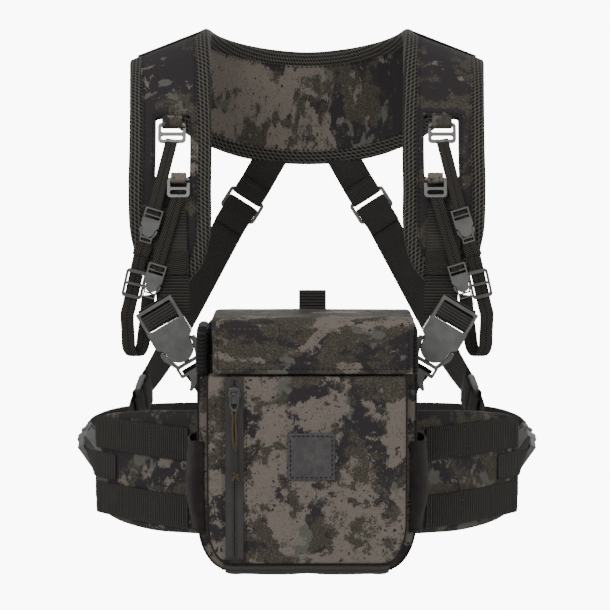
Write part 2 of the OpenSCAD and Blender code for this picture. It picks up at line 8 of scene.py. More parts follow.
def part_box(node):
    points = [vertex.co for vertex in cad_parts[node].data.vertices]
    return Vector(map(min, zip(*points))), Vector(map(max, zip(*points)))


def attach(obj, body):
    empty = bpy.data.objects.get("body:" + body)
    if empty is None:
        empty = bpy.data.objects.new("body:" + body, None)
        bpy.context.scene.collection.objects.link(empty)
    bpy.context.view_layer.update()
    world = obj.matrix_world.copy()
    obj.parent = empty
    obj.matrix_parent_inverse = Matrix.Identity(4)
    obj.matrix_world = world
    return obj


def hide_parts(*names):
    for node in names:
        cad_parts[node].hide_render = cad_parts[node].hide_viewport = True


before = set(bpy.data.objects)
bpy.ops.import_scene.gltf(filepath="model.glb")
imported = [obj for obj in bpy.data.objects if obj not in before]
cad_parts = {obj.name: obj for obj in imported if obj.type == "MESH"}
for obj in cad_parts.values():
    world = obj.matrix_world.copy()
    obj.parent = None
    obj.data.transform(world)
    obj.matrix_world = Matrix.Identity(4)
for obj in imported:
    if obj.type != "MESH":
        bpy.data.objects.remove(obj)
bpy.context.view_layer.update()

MM = 0.001


# ---------------------------------------------------------------- curves

def vec(*xyz):
    return Vector(xyz)


def smooth(points, steps):
    """Smooth curve through every point, with that many steps between points."""
    pts = [Vector(p) for p in points]
    last = len(pts) - 1
    out = []
    for i in range(last):
        a = pts[i - 1] if i else 2 * pts[0] - pts[1]
        b, c = pts[i], pts[i + 1]
        d = pts[i + 2] if i < last - 1 else 2 * pts[last] - pts[last - 1]
        for j in range(steps):
            t = j / steps
            out.append(0.5 * (2 * b + (c - a) * t + (2 * a - 5 * b + 4 * c - d) * t * t
                              + (3 * b - a - 3 * c + d) * t ** 3))
    return out + [pts[last]]


def lerp(a, b, t):
    return a + (b - a) * t


def clamp(x, low=0.0, high=1.0):
    return max(low, min(high, x))


def ease(x):
    x = clamp(x)
    return x * x * (3 - 2 * x)


class Track:
    """A route with a width direction at each point; faces look along the normal."""

    def __init__(self, points, wide, knots=8):
        self.p = smooth(points, knots)
        if isinstance(wide, Vector):
            wide = [wide] * len(points)
        self.w = [w.normalized() for w in smooth(wide, knots)]
        self.at_mm = [0.0]
        for a, b in zip(self.p, self.p[1:]):
            self.at_mm.append(self.at_mm[-1] + (b - a).length)
        self.length = self.at_mm[-1]

    def at(self, s):
        """Point, width direction and face normal, s millimetres along the route."""
        s = clamp(s, 0.0, self.length)
        i = 0
        while i < len(self.p) - 2 and self.at_mm[i + 1] < s:
            i += 1
        t = (s - self.at_mm[i]) / (self.at_mm[i + 1] - self.at_mm[i])
        w = lerp(self.w[i], self.w[i + 1], t).normalized()
        lo, hi = max(i - 1, 0), min(i + 2, len(self.p) - 1)
        run_a = self.p[i + 1] - self.p[lo]
        run_b = self.p[hi] - self.p[i]
        run = lerp(run_a.normalized(), run_b.normalized(), t)
        return lerp(self.p[i], self.p[i + 1], t), w, run.cross(w).normalized()

    def where(self, axis, value):
        """Distance along the route at which a coordinate first passes a value."""
        for i, (a, b) in enumerate(zip(self.p, self.p[1:])):
            if (a[axis] - value) * (b[axis] - value) <= 0 and a[axis] != b[axis]:
                t = (value - a[axis]) / (b[axis] - a[axis])
                return lerp(self.at_mm[i], self.at_mm[i + 1], t)
        return self.length


# ---------------------------------------------------------------- materials

class Nodes:
    """Builds one procedural material around a Principled shader."""

    def __init__(self, name, roughness, specular=0.5, sheen=0.0, metallic=0.0):
        self.material = bpy.data.materials.new(name)
        self.material.use_nodes = True
        self.tree = self.material.node_tree
        self.tree.nodes.clear()
        self.out = self.node("OutputMaterial")
        self.shader = self.node("BsdfPrincipled")
        self.tree.links.new(self.shader.outputs[0], self.out.inputs[0])
        self.shader.inputs["Roughness"].default_value = roughness
        self.shader.inputs["Specular IOR Level"].default_value = specular
        self.shader.inputs["Metallic"].default_value = metallic
        self.shader.inputs["Sheen Weight"].default_value = sheen
        self.shader.inputs["Sheen Roughness"].default_value = 0.5

    def node(self, kind, **settings):
        made = self.tree.nodes.new("ShaderNode" + kind)
        for key, value in settings.items():
            setattr(made, key, value)
        return made

    def put(self, socket, value):
        if isinstance(value, bpy.types.NodeSocket):
            self.tree.links.new(value, socket)
        else:
            socket.default_value = value

    def math(self, op, a, b=0.0, c=0.0):
        made = self.node("Math", operation=op)
        for socket, value in zip(made.inputs, (a, b, c)):
            self.put(socket, value)
        return made.outputs[0]

    def times(self, a, b):
        return self.math("MULTIPLY", a, b)

    def plus(self, a, b):
        return self.math("ADD", a, b)

    def scaled(self, a, by, then):
        """a times by, plus then."""
        return self.math("MULTIPLY_ADD", a, by, then)

    def place(self, scale=(1, 1, 1), shift=(0, 0, 0), uv=False):
        """Coordinates in millimetres, in the frame or along the fabric."""
        source = self.node("TexCoord").outputs["UV" if uv else "Object"]
        mapping = self.node("Mapping")
        mapping.inputs["Scale"].default_value = [s / MM for s in scale]
        mapping.inputs["Location"].default_value = shift
        self.put(mapping.inputs["Vector"], source)
        return mapping.outputs[0]

    def noise(self, where, size, detail=2.0, distortion=0.0):
        made = self.node("TexNoise")
        self.put(made.inputs["Vector"], where)
        made.inputs["Scale"].default_value = 1 / size
        made.inputs["Detail"].default_value = detail
        made.inputs["Distortion"].default_value = distortion
        return made.outputs["Fac"]

    def cells(self, where, size):
        made = self.node("TexVoronoi")
        self.put(made.inputs["Vector"], where)
        made.inputs["Scale"].default_value = 1 / size
        return made.outputs["Distance"]

    def axis(self, where, name):
        made = self.node("SeparateXYZ")
        self.put(made.inputs[0], where)
        return made.outputs[name]

    def wave(self, value, pitch, phase=0.0):
        """Sine from -1 to 1 that repeats every pitch."""
        return self.math("SINE", self.math("MULTIPLY_ADD", value, 2 * math.pi / pitch, phase))

    def step(self, value, low, high):
        """0 below low and 1 above high."""
        made = self.node("MapRange", interpolation_type="SMOOTHSTEP")
        for socket, v in zip(made.inputs, (value, low, high)):
            self.put(socket, v)
        return made.outputs[0]

    def mix(self, share, a, b):
        made = self.node("Mix", data_type="RGBA")
        self.put(made.inputs[0], share)
        for socket, colour in ((made.inputs[6], a), (made.inputs[7], b)):
            self.put(socket, colour if isinstance(colour, bpy.types.NodeSocket) else (*colour, 1))
        return made.outputs[2]

    def bump(self, height, depth, strength=1.0):
        made = self.node("Bump")
        made.inputs["Distance"].default_value = depth * MM
        made.inputs["Strength"].default_value = strength
        self.put(made.inputs["Height"], height)
        self.tree.links.new(made.outputs[0], self.shader.inputs["Normal"])

    def finish(self, colour, height=None, depth=0.3, strength=1.0, rough=None):
        self.put(self.shader.inputs["Base Color"], colour)
        if height is not None:
            self.bump(height, depth, strength)
        if rough is not None:
            self.put(self.shader.inputs["Roughness"], rough)
        return self.material


def rgb(r, g, b, tone=1.0):
    """Linear colour of a display colour given from 0 to 255, darkened or lightened by tone."""
    return tuple(((c * tone / 255 + 0.055) / 1.055) ** 2.4 for c in (r, g, b))


TAUPE = rgb(126, 117, 108)
BARK = rgb(54, 49, 52)
OLIVE = rgb(70, 65, 57)
MOSS = rgb(98, 97, 90)
SPECK = rgb(92, 87, 76)


def camo(name, shift, taupe=0.55, bark=0.5, stretch=(1, 1, 1), size=40, drift=0.0, moss=0.6):
    """Printed nylon: broken patches of four colours, with grainy edges and dark spots.

    drift darkens the print towards +X."""
    n = Nodes(name, 0.85, 0.2, sheen=0.04)
    where = n.place(stretch, shift)
    fine = n.place()
    side = n.times(n.axis(fine, "X"), drift)
    edge = n.times(n.math("SUBTRACT", n.noise(where, 6, 4), 0.5), 0.42)
    grain = n.times(n.math("SUBTRACT", n.noise(fine, 1.0, 2), 0.5), 0.26)

    def patch(offset, cut, size_mm, sharp=0.015, grainy=1.0, lean=0.0):
        moved = n.node("VectorMath", operation="ADD")
        n.put(moved.inputs[0], where)
        moved.inputs[1].default_value = offset
        field = n.plus(n.noise(moved.outputs[0], size_mm, 3, 0.8), edge)
        field = n.scaled(grain, grainy, field)
        field = n.scaled(side, lean, field)
        return n.step(field, cut - sharp, cut + sharp)

    speckle = n.step(n.noise(fine, 1.2, 1), 0.5, 0.6)
    olive = n.mix(speckle, OLIVE, SPECK)
    colour = n.mix(patch((0, 0, 0), bark, size, lean=1.0), olive, BARK)
    colour = n.mix(patch((310, 120, 90), moss, size * 0.7, grainy=0.4), colour, MOSS)
    light = patch((90, 700, 30), taupe, size * 0.9, lean=-1.0)
    peppered = n.mix(n.step(n.noise(fine, 1.5, 1), 0.60, 0.64), TAUPE, MOSS)
    patchy = n.mix(patch((44, 10, 400), 0.5, 16), TAUPE, peppered)
    colour = n.mix(light, colour, patchy)
    blob = n.step(n.noise(where, 3.4, 1), 0.655, 0.675)
    near = n.times(patch((90, 700, 30), taupe - 0.03, size * 0.9, lean=-1.0),
                   patch((70, 30, 200), 0.5, 22))
    colour = n.mix(n.times(blob, near), colour, BARK)
    weave_x = n.wave(n.plus(n.axis(fine, "X"), n.axis(fine, "Y")), 0.7)
    weave = n.times(weave_x, n.wave(n.axis(fine, "Z"), 0.7))
    worn = n.noise(fine, 14, 3)
    dusty = n.mix(n.times(n.step(n.noise(fine, 0.6, 1), 0.35, 0.7), 0.28), colour, (0.011, 0.01, 0.01))
    height = n.scaled(worn, 1.2, n.times(weave, 0.25))
    return n.finish(dusty, height, 0.25, 0.6)


def spacer_mesh(name, across=2.9, along=3.3, colour=(70, 67, 62), slant=0.75):
    """Open knitted mesh: slanted holes between cords, each column set off from the next; the holes are
    painted near black as shade inside them, and the cords get painted shade towards the holes.
    """
    n = Nodes(name, 0.78, 0.3, sheen=0.04)
    where = n.place(uv=True)
    u, v = n.axis(where, "X"), n.axis(where, "Y")
    wobble = n.times(n.math("SUBTRACT", n.noise(where, 7), 0.5), 1.1)
    u = n.plus(u, wobble)
    v = n.plus(v, n.times(n.math("SUBTRACT", n.noise(where, 5), 0.5), 0.9))
    column = n.wave(u, 2 * across)
    row = n.wave(n.scaled(u, slant, v), 2 * along)
    lattice = n.math("ABSOLUTE", n.times(column, row))
    hole = n.step(lattice, 0.34, 0.62)
    thread = n.noise(n.place(), 0.45, 2)
    tone = n.step(thread, 0.3, 0.75)
    cord = n.mix(tone, rgb(*colour, 0.7), rgb(*colour, 1.15))
    # Painted shade: each cord darkens towards the holes, where its sides turn away.
    shade = n.mix(n.step(lattice, 0.0, 0.34), cord, rgb(*colour, 0.72))
    # Painted shade: the holes are near black, standing in for the shade inside them.
    colour = n.mix(hole, shade, rgb(13, 12, 12))
    height = n.scaled(hole, -1.0, n.times(thread, 0.12))
    return n.finish(colour, height, 1.3)


def ribbed(name, pitch=2.2, colour=(52, 49, 45), slant=0.0, depth=0.35):
    """Woven webbing with ribs across it and a fine weave in each rib."""
    n = Nodes(name, 0.72, 0.3, sheen=0.03)
    where = n.place(uv=True)
    u, v = n.axis(where, "X"), n.axis(where, "Y")
    rib = n.wave(n.scaled(u, slant, v), pitch)
    thread = n.wave(u, 0.8)
    fuzz = n.noise(n.place(), 0.9, 3)
    # Painted light on the ribs: darker in their troughs as painted shade and lighter on their crests as
    # painted highlight, with random fuzz in the tone.
    shade = n.step(n.scaled(fuzz, 0.9, rib), -0.9, 1.3)
    base = n.mix(shade, rgb(*colour, 0.55), rgb(*colour, 1.12))
    wear = n.step(n.noise(n.place(), 22, 4), 0.5, 0.8)
    base = n.mix(n.times(wear, 0.25), base, rgb(*colour, 1.35))
    height = n.scaled(thread, 0.18, rib)
    return n.finish(base, height, depth)


def herringbone(name, colour=(60, 56, 50)):
    """Narrow tape woven in a chevron, with a seam along its middle."""
    n = Nodes(name, 0.75, 0.3, sheen=0.03)
    where = n.place(uv=True)
    u, v = n.axis(where, "X"), n.axis(where, "Y")
    side = n.math("ABSOLUTE", u)
    rib = n.wave(n.scaled(side, 1.1, v), 2.1)
    seam = n.step(side, 0.0, 0.5)
    # Painted shade: darker in the chevron's rib troughs and along the middle seam's groove, lighter on
    # the rib crests.
    shade = n.times(n.step(rib, -0.8, 1.0), seam)
    base = n.mix(shade, rgb(*colour, 0.4), rgb(*colour, 1.3))
    height = n.plus(rib, n.times(seam, 1.5))
    return n.finish(base, height, 0.4)


def plain_fabric(name, colour, weave=0.6, sheen=0.05, rough=0.85, grain=0.12):
    """Plain woven or coated cloth with a fine weave and soft, uneven tone."""
    n = Nodes(name, rough, 0.3, sheen=sheen)
    where = n.place()
    knit = n.times(n.wave(n.plus(n.axis(where, "X"), n.axis(where, "Y")), weave),
                   n.wave(n.axis(where, "Z"), weave))
    cloud = n.noise(where, 16, 4)
    dust = n.noise(where, 0.8, 2)
    tone = n.step(n.scaled(dust, 0.5, cloud), 0.45, 1.0)
    base = n.mix(tone, rgb(*colour, 1 - grain), rgb(*colour, 1 + grain))
    height = n.scaled(knit, 0.4, cloud)
    return n.finish(base, height, 0.2, 0.7)


def stretch_knit(name):
    """Ribbed stretch cloth: fine upright ribs."""
    n = Nodes(name, 0.9, 0.2, sheen=0.08)
    where = n.place(uv=True)
    rib = n.wave(n.axis(where, "X"), 1.1)
    cloud = n.noise(n.place(), 12, 3)
    # Mostly random cloudy tone, with faint painted shade in the rib troughs and painted light on the rib
    # tops.
    base = n.mix(n.step(n.scaled(rib, 0.15, cloud), 0.3, 0.8), rgb(36, 31, 30), rgb(54, 47, 46))
    return n.finish(base, n.scaled(rib, 0.6, cloud), 0.25)


def moulded(name, colour=(104, 104, 101), rough=0.42):
    """Moulded nylon with a fine spark-eroded grain, faint flow marks and handling wear."""
    n = Nodes(name, rough, 0.5)
    where = n.place()
    grain = n.noise(where, 0.35, 2)
    flow = n.noise(where, 9, 4)
    base = n.mix(n.step(flow, 0.3, 0.7), rgb(*colour, 0.9), rgb(*colour, 1.06))
    shine = n.scaled(flow, 0.18, rough - 0.08)
    return n.finish(base, grain, 0.06, 0.6, rough=shine)


def dull_metal(name, colour, rough=0.35):
    """Cast and tumbled metal: soft scratches and cloudy tone."""
    n = Nodes(name, rough, metallic=1.0)
    where = n.place((1, 1, 6))
    scratch = n.noise(where, 1.4, 4)
    cloud = n.noise(n.place(), 3, 2)
    base = n.mix(cloud, rgb(*colour, 0.85), rgb(*colour))
    return n.finish(base, scratch, 0.03, 0.6, rough=n.scaled(scratch, 0.3, rough - 0.1))


def leather(name):
    """Smooth hide with small pebbled grain and uneven tone, with painted shade in the grooves between the
    pebbles.
    """
    n = Nodes(name, 0.5, 0.5)
    where = n.place()
    pebble = n.cells(where, 0.9)
    crease = n.noise(where, 5, 4)
    base = n.mix(n.step(crease, 0.3, 0.7), rgb(66, 62, 63), rgb(80, 76, 76))
    # Painted shade: darker in the low grooves between the pebbles.
    base = n.mix(n.times(n.step(pebble, 0.5, 0.9), 0.5), base, rgb(50, 47, 48))
    height = n.scaled(pebble, -0.8, crease)
    return n.finish(base, height, 0.12, rough=n.scaled(crease, 0.25, 0.4))


def braided(name, colour=(118, 96, 68)):
    """Braided cord: crossing diagonal strands."""
    n = Nodes(name, 0.8, 0.3, sheen=0.1)
    where = n.place()
    a = n.wave(n.plus(n.axis(where, "Z"), n.axis(where, "X")), 0.9)
    b = n.wave(n.math("SUBTRACT", n.axis(where, "Z"), n.axis(where, "X")), 0.9)
    strand = n.math("MAXIMUM", a, b)
    # Painted shade: darker in the gaps between the strands, lighter on their tops.
    base = n.mix(n.step(strand, -0.2, 0.9), rgb(*colour, 0.45), rgb(*colour))
    return n.finish(base, strand, 0.2)


def zip_coil(name):
    """Coil teeth: close ribs across the tape, with painted shade between the teeth and a dark line of
    painted shade where the halves meet.
    """
    n = Nodes(name, 0.5, 0.5)
    where = n.place(uv=True)
    u, v = n.axis(where, "X"), n.axis(where, "Y")
    side = n.math("ABSOLUTE", u)
    tooth = n.wave(n.scaled(side, 0.3, v), 1.25)
    meet = n.step(side, 0.1, 0.45)
    # Painted shade: dark between the teeth and in the groove where the two halves meet.
    base = n.mix(n.times(n.step(tooth, -0.6, 0.8), meet), rgb(24, 23, 22), rgb(80, 77, 75))
    return n.finish(base, n.plus(tooth, n.times(meet, 2)), 0.25)


CAMO_FRONT = camo("camo_front", (12, 40, 5), taupe=0.50, bark=0.52, size=36)
CAMO_LID = camo("camo_lid", (210, 15, 160), taupe=0.585, bark=0.52, stretch=(0.7, 1, 1.2), size=34,
                moss=0.66)
CAMO_SIDE = camo("camo_side", (77, 31, 330), taupe=0.47, bark=0.54, size=30)
CAMO_PAD = camo("camo_pad", (400, 90, 20), taupe=0.67, bark=0.46, size=34, moss=0.67)
CAMO_YOKE = camo("camo_yoke", (150, 260, 70), taupe=0.53, bark=0.50, stretch=(1.3, 1, 0.7), size=34,
                 drift=0.0016)
CAMO_WING = camo("camo_wing", (33, 510, 140), taupe=0.60, bark=0.49, size=34)
MESH = spacer_mesh("spacer_mesh", colour=(96, 91, 84))
BACK_MESH = spacer_mesh("back_mesh", 2.6, 2.8, (52, 50, 48), 0.5)
RIBBED = ribbed("ribbed_webbing", colour=(60, 57, 53))
STRAP = ribbed("strap_webbing", 1.5, (54, 50, 46), slant=0.15, depth=0.3)
TETHER = herringbone("tether_webbing")
DARK = plain_fabric("dark_fabric", (34, 31, 30), sheen=0.08)
COATED = plain_fabric("coated_fabric", (64, 61, 59), 0.5, 0.0, 0.62, 0.08)
STRETCH = stretch_knit("stretch_knit")
PLASTIC = moulded("moulded_plastic")
DARK_PLASTIC = moulded("triglide_plastic", (88, 87, 84), 0.38)
HOOK = dull_metal("hook_metal", (128, 128, 126), 0.42)
GUNMETAL = dull_metal("gunmetal", (112, 112, 112), 0.28)
LEATHER = leather("patch_leather")
CORD = braided("pull_cord")
TUBE = moulded("pull_tube", (44, 40, 38), 0.5)
COIL = zip_coil("zip_coil")
THREAD = plain_fabric("dark_thread", (22, 21, 21), 0.4)
PALE_THREAD = plain_fabric("pale_thread", (98, 92, 82), 0.4)


# ---------------------------------------------------------------- building pieces

def piece_name(name):
    """Keeps a visible piece's name apart from its CAD node's."""
    return name + "_detail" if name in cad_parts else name


def link(name, data):
    """A new object in the scene for a mesh, a light or a camera."""
    obj = bpy.data.objects.new(name, data)
    bpy.context.scene.collection.objects.link(obj)
    return obj


def make(name, verts, faces, materials, body, nodes=None, uvs=None, picks=None,
         mirror=False, subsurf=0):
    """One visible piece from vertices in millimetres; uvs and picks are per vertex and face.

    Without nodes, it stands for the CAD node of its own name, if there is one."""
    if nodes is None:
        nodes = [name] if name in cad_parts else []
    if mirror:
        verts = [Vector((-v[0], v[1], v[2])) for v in verts]
        faces = [tuple(reversed(f)) for f in faces]
    name = piece_name(name)
    mesh = bpy.data.meshes.new(name)
    mesh.from_pydata([Vector(v) * MM for v in verts], [], faces)
    for material in materials:
        mesh.materials.append(material)
    if uvs:
        layer = mesh.uv_layers.new(name="UVMap")
        for loop in mesh.loops:
            u, v = uvs[loop.vertex_index]
            layer.data[loop.index].uv = (u * MM, v * MM)
    if picks:
        for polygon, pick in zip(mesh.polygons, picks):
            polygon.material_index = pick
    for polygon in mesh.polygons:
        polygon.use_smooth = True
    obj = link(name, mesh)
    if subsurf:
        modifier = obj.modifiers.new("smooth", "SUBSURF")
        modifier.levels = modifier.render_levels = subsurf
    settle(obj, body, nodes)
    return obj


def settle(obj, body, nodes=()):
    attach(obj, body)
    if nodes:
        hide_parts(*nodes)


def ring_faces(rings, count, closed=True):
    """Quads between consecutive rings of count vertices."""
    faces = []
    for i in range(rings - 1):
        for j in range(count if closed else count - 1):
            k = (j + 1) % count
            faces.append((i * count + j, i * count + k, (i + 1) * count + k, (i + 1) * count + j))
    return faces


BAND_COLUMNS = (1, 0.96, 0.7, 0.35, 0, -0.35, -0.7, -0.96, -1)


def band_rings(track, width, thick, start, end, step, rib, pitch, puff):
    """Vertices and uvs of webbing from start to end along a track."""
    count = max(2, round((end - start) / step))
    verts, uvs = [], []
    for i in range(count + 1):
        s = lerp(start, end, i / count)
        p, w, n = track.at(s)
        half = (width(s) if callable(width) else width) / 2
        lift = rib * math.sin(2 * math.pi * s / pitch) if rib else 0.0
        rise = puff(s) if puff else 0.0
        for a in BAND_COLUMNS:
            t = thick / 2 * math.sqrt(max(0.0, 1 - abs(a) ** 10))
            bow = rise * (1 - a ** 4)
            verts.append(p + w * (a * half) + n * (t + bow + (lift if abs(a) < 0.99 else 0)))
            uvs.append((a * half, s))
        for a in BAND_COLUMNS[-2:0:-1]:
            t = thick / 2 * math.sqrt(max(0.0, 1 - abs(a) ** 10))
            verts.append(p + w * (a * half) + n * (rise * (1 - a ** 4) - t - lift * 0.5))
            uvs.append((a * half, s))
    return verts, uvs, count + 1


def band(name, track, width, thick, material=STRAP, body="pack", nodes=None, start=0.0,
         end=None, step=1.2, rib=0.0, pitch=2.2, puff=None, mirror=False):
    """Flat webbing or tape along a track, with soft edges and closed ends."""
    end = track.length if end is None else end
    verts, uvs, rings = band_rings(track, width, thick, start, end, step, rib, pitch, puff)
    count = 2 * len(BAND_COLUMNS) - 2
    faces = ring_faces(rings, count)
    faces.append(tuple(reversed(range(count))))
    faces.append(tuple(range((rings - 1) * count, rings * count)))
    return make(name, verts, faces, [material], body, nodes, uvs, mirror=mirror)


EDGE_STEPS = (0, 0.5, 1.3, 2.6, 4.4, 6.4, 8.2, 9.4, 10.2, 11.2, 12.6)


def stations(length, spacing, marks):
    """Even stations along a length, with closer ones near both ends and round each mark."""
    found = {round(s, 3) for s in EDGE_STEPS} | {round(length - s, 3) for s in EDGE_STEPS}
    for mark in marks:
        found |= {round(mark + d, 3) for d in (-3.4, -1.6, -0.6, 0, 0.6, 1.6, 3.4)}
    inner = [12.6 + spacing * i for i in range(1, int((length - 26) / spacing) + 1)]
    for s in inner:
        if all(abs(s - f) > spacing * 0.45 for f in found):
            found.add(round(s, 3))
    return sorted(f for f in found if 0 <= f <= length)


def rounded(d, height, edge):
    """Height of a padded surface d in from its edge, with that edge radius."""
    edge = min(edge, height)
    if d <= 0:
        return 0.0
    fall = 1 - clamp(d / edge)
    return height - edge + edge * math.sqrt(max(0.0, 1 - fall * fall))


def pad(name, track, half, front, back, roll, materials, body="pack", nodes=None,
        window=None, edge=4.4, inset=0.7, crown=0.0, spacing=4.0, mirror=False, subsurf=1,
        ends=(True, True), wave=0.5, corners=None, dent=None):
    """Padded panel along a track: a rolled edge of one cloth round faces of others.

    half gives half the width along the track; front and back are the thicknesses either
    side of it. window is (low, high, start, end): a cut-out from low to high across the panel
    and start to end along it. materials are the front face, the rolled edge and the back."""
    marks = window[2:] if window else ()
    rows = stations(track.length, spacing, marks)
    shares = (0.1, 0.2, 0.3, 0.4, 0.5, 0.6, 0.7, 0.8, 0.9)
    verts, uvs, face, rear, depth = [], [], {}, {}, {}
    for i, s in enumerate(rows):
        p, w, n = track.at(s)
        wide = half(s)
        squeeze = min(1.0, wide / 20)
        rim = [e * squeeze for e in EDGE_STEPS]
        inner = 2 * (wide - rim[-1])
        places = [wide - e for e in rim] + [wide - rim[-1] - inner * f for f in shares]
        places += [e - wide for e in reversed(rim)]
        for j, a in enumerate(places):
            d = wide - abs(a)
            d = min(d, s) if ends[0] else d
            d = min(d, track.length - s) if ends[1] else d
            if corners:
                d = min(d, corners(a, s))
            up, down = rounded(d, front, edge), rounded(d, back, edge)
            open_d = 99.0
            if window:
                gap_a = max(window[0] - a, a - window[1])
                gap_s = max(window[2] - s, s - window[3])
                open_d = math.hypot(max(gap_a, 0), max(gap_s, 0)) if max(gap_a, gap_s) > 0 else 0
                up = min(up, rounded(open_d, front - 0.8, 2.6))
                down = min(down, rounded(open_d, back - 0.8, 2.6))
            shared = d < 1e-4 or open_d < 1e-3
            if roll and not shared:
                up -= inset * ease((d - roll) / 1.2) + 0.8 * math.exp(-((d - roll) / 0.9) ** 2)
            if dent and not shared:
                up -= dent(a, s)
            fold = wave * noise.noise(p * 0.045 + w * (a * 0.045)) * clamp(d / 5)
            swell = crown * math.sqrt(clamp(1 - (a / max(wide, 1)) ** 2)) * clamp(d / 12) ** 0.5
            uvs.append((a, s))
            face[i, j] = rear[i, j] = len(verts)
            verts.append(p + w * a + n * (0 if shared else max(up, 0.03) + fold + swell))
            if not shared:
                uvs.append((a, s))
                rear[i, j] = len(verts)
                verts.append(p + w * a + n * (fold - max(down, 0.03)))
            depth[i, j] = d
    columns = 2 * len(EDGE_STEPS) + len(shares)
    faces, picks = [], []

    def add(loop, pick):
        loop = [v for k, v in enumerate(loop) if v != loop[k - 1]]
        if len(set(loop)) >= 3:
            faces.append(tuple(loop))
            picks.append(pick)

    for i in range(len(rows) - 1):
        for j in range(columns - 1):
            cell = [(i, j), (i, j + 1), (i + 1, j + 1), (i + 1, j)]
            if window:
                mid_s = (rows[i] + rows[i + 1]) / 2
                mid_a = sum(uvs[face[c]][0] for c in cell) / 4
                if window[0] < mid_a < window[1] and window[2] < mid_s < window[3]:
                    continue
            if all(face[c] == rear[c] for c in cell):
                continue
            mean = sum(depth[c] for c in cell) / 4
            add([face[c] for c in reversed(cell)], 0 if mean > roll else 1)
            add([rear[c] for c in cell], 2 if mean > roll else 1)
    for rounded_end, i in zip(ends, (0, len(rows) - 1)):
        if not rounded_end:
            for j in range(columns - 1):
                cap = [face[i, j], face[i, j + 1], rear[i, j + 1], rear[i, j]]
                add(cap if i == 0 else cap[::-1], 1)
    return make(name, verts, faces, materials, body, nodes, uvs, picks, mirror, subsurf)


STITCH_LIFT = 0.1


def stitches(name, points, normal, material=THREAD, body="pack", size=2.4, gap=1.3,
             radius=0.24, mirror=False, closed=False):
    """A run of short thread stitches lying on a surface along a route."""
    pts = [Vector(p) for p in points]
    if closed:
        pts.append(pts[0])
    track = Track(pts, Vector((0, 0, 1)), 1)
    verts, faces = [], []
    s = gap
    while s + size < track.length:
        a, b = track.at(s)[0], track.at(s + size)[0]
        run = (b - a).normalized()
        up = Vector(normal).normalized()
        side = run.cross(up).normalized()
        base = len(verts)
        for share, scale in ((0, 0.25), (0.15, 0.9), (0.5, 1.15), (0.85, 0.9), (1, 0.25)):
            mid = lerp(a, b, share) + up * (STITCH_LIFT * scale)
            for k in range(6):
                angle = k * math.pi / 3
                verts.append(mid + (up * math.sin(angle) + side * math.cos(angle)) * radius * scale)
        for q in ring_faces(5, 6):
            faces.append(tuple(base + v for v in q))
        faces.append(tuple(base + v for v in reversed(range(6))))
        faces.append(tuple(base + 24 + v for v in range(6)))
        s += size + gap
    return make(name, verts, faces, [material], body, mirror=mirror)


def tube(name, points, radius, material=DARK, body="pack", nodes=None, sides=10,
         knots=6, mirror=False, swell=None):
    """Round cord or piping along a smooth route."""
    track = Track(points, Vector((0.31, 0.89, 0.33)), knots)
    count = max(4, round(track.length / max(0.8, radius)))
    verts = []
    for i in range(count + 1):
        p, w, n = track.at(track.length * i / count)
        run = n.cross(w).normalized()
        side = run.cross(n).normalized()
        r = radius * (swell(i / count) if swell else 1)
        for k in range(sides):
            angle = 2 * math.pi * k / sides
            verts.append(p + (side * math.cos(angle) + n * math.sin(angle)) * r)
    faces = ring_faces(count + 1, sides)
    faces.append(tuple(reversed(range(sides))))
    faces.append(tuple(range(count * sides, (count + 1) * sides)))
    return make(name, verts, faces, [material], body, nodes, mirror=mirror)


def hardware(name, material=PLASTIC, body="pack", bevel=0.35, segments=2, node=None):
    """The exact CAD hardware with moulded edges: its corners are rounded, its sizes kept."""
    node = node or name
    name = piece_name(name)
    work = bmesh.new()
    work.from_mesh(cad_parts[node].data)
    bmesh.ops.remove_doubles(work, verts=work.verts, dist=0.00001)
    work.verts.index_update()
    verts = [v.co.copy() for v in work.verts]
    faces = [tuple(v.index for v in f.verts) for f in work.faces]
    work.free()
    mesh = bpy.data.meshes.new(name)
    mesh.from_pydata(verts, [], faces)
    mesh.materials.append(material)
    for polygon in mesh.polygons:
        polygon.use_smooth = True
    obj = link(name, mesh)
    rounding = obj.modifiers.new("round", "BEVEL")
    rounding.width = bevel * MM
    rounding.segments = segments
    rounding.limit_method = "ANGLE"
    rounding.angle_limit = math.radians(30)
    rounding.use_clamp_overlap = True
    even = obj.modifiers.new("even", "WEIGHTED_NORMAL")
    even.keep_sharp = False
    settle(obj, body, (node,))
    return obj


def low(node):
    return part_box(node)[0] / MM


def high(node):
    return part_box(node)[1] / MM


def raised(track, start, end, lift, count):
    """Points along a track between two distances, moved off its face."""
    found = []
    for i in range(count + 1):
        p, w, n = track.at(lerp(start, end, i / count))
        found.append(p + n * lift)
    return found


def along(track, values):
    """Function of distance that follows values given at the track's own points."""
    def value(s):
        s = clamp(s, 0, track.length)
        i = 0
        while i < len(values) - 2 and track.at_mm[i + 1] < s:
            i += 1
        share = (s - track.at_mm[i]) / (track.at_mm[i + 1] - track.at_mm[i])
        return lerp(values[i], values[i + 1], share)
    return value


SIDES = (("left", True), ("right", False))

# ---------------------------------------------------------------- yoke

PAD_T = 9.0
NECK = [(74, 0, 18), (75, 24, 21), (68, 54, 17), (51, 80, 12), (27, 95, 8), (0, 100, 6)]
BLADE = [(136, 0, -6), (134, 32, -16), (121, 62, -38), (96, 86, -62), (54, 101, -80), (0, 106, -86)]


def whole(line):
    """A line that ends in the middle plane, and its mirror image back out again."""
    return list(line) + [(-x, y, z) for x, y, z in reversed(line[:-1])]


neck = smooth(whole(NECK), 8)
blade = smooth(whole(BLADE), 8)
yoke_track = Track([(a + b) / 2 for a, b in zip(neck, blade)], [b - a for a, b in zip(neck, blade)], 1)
yoke_width = along(yoke_track, [(b - a).length / 2 for a, b in zip(neck, blade)])


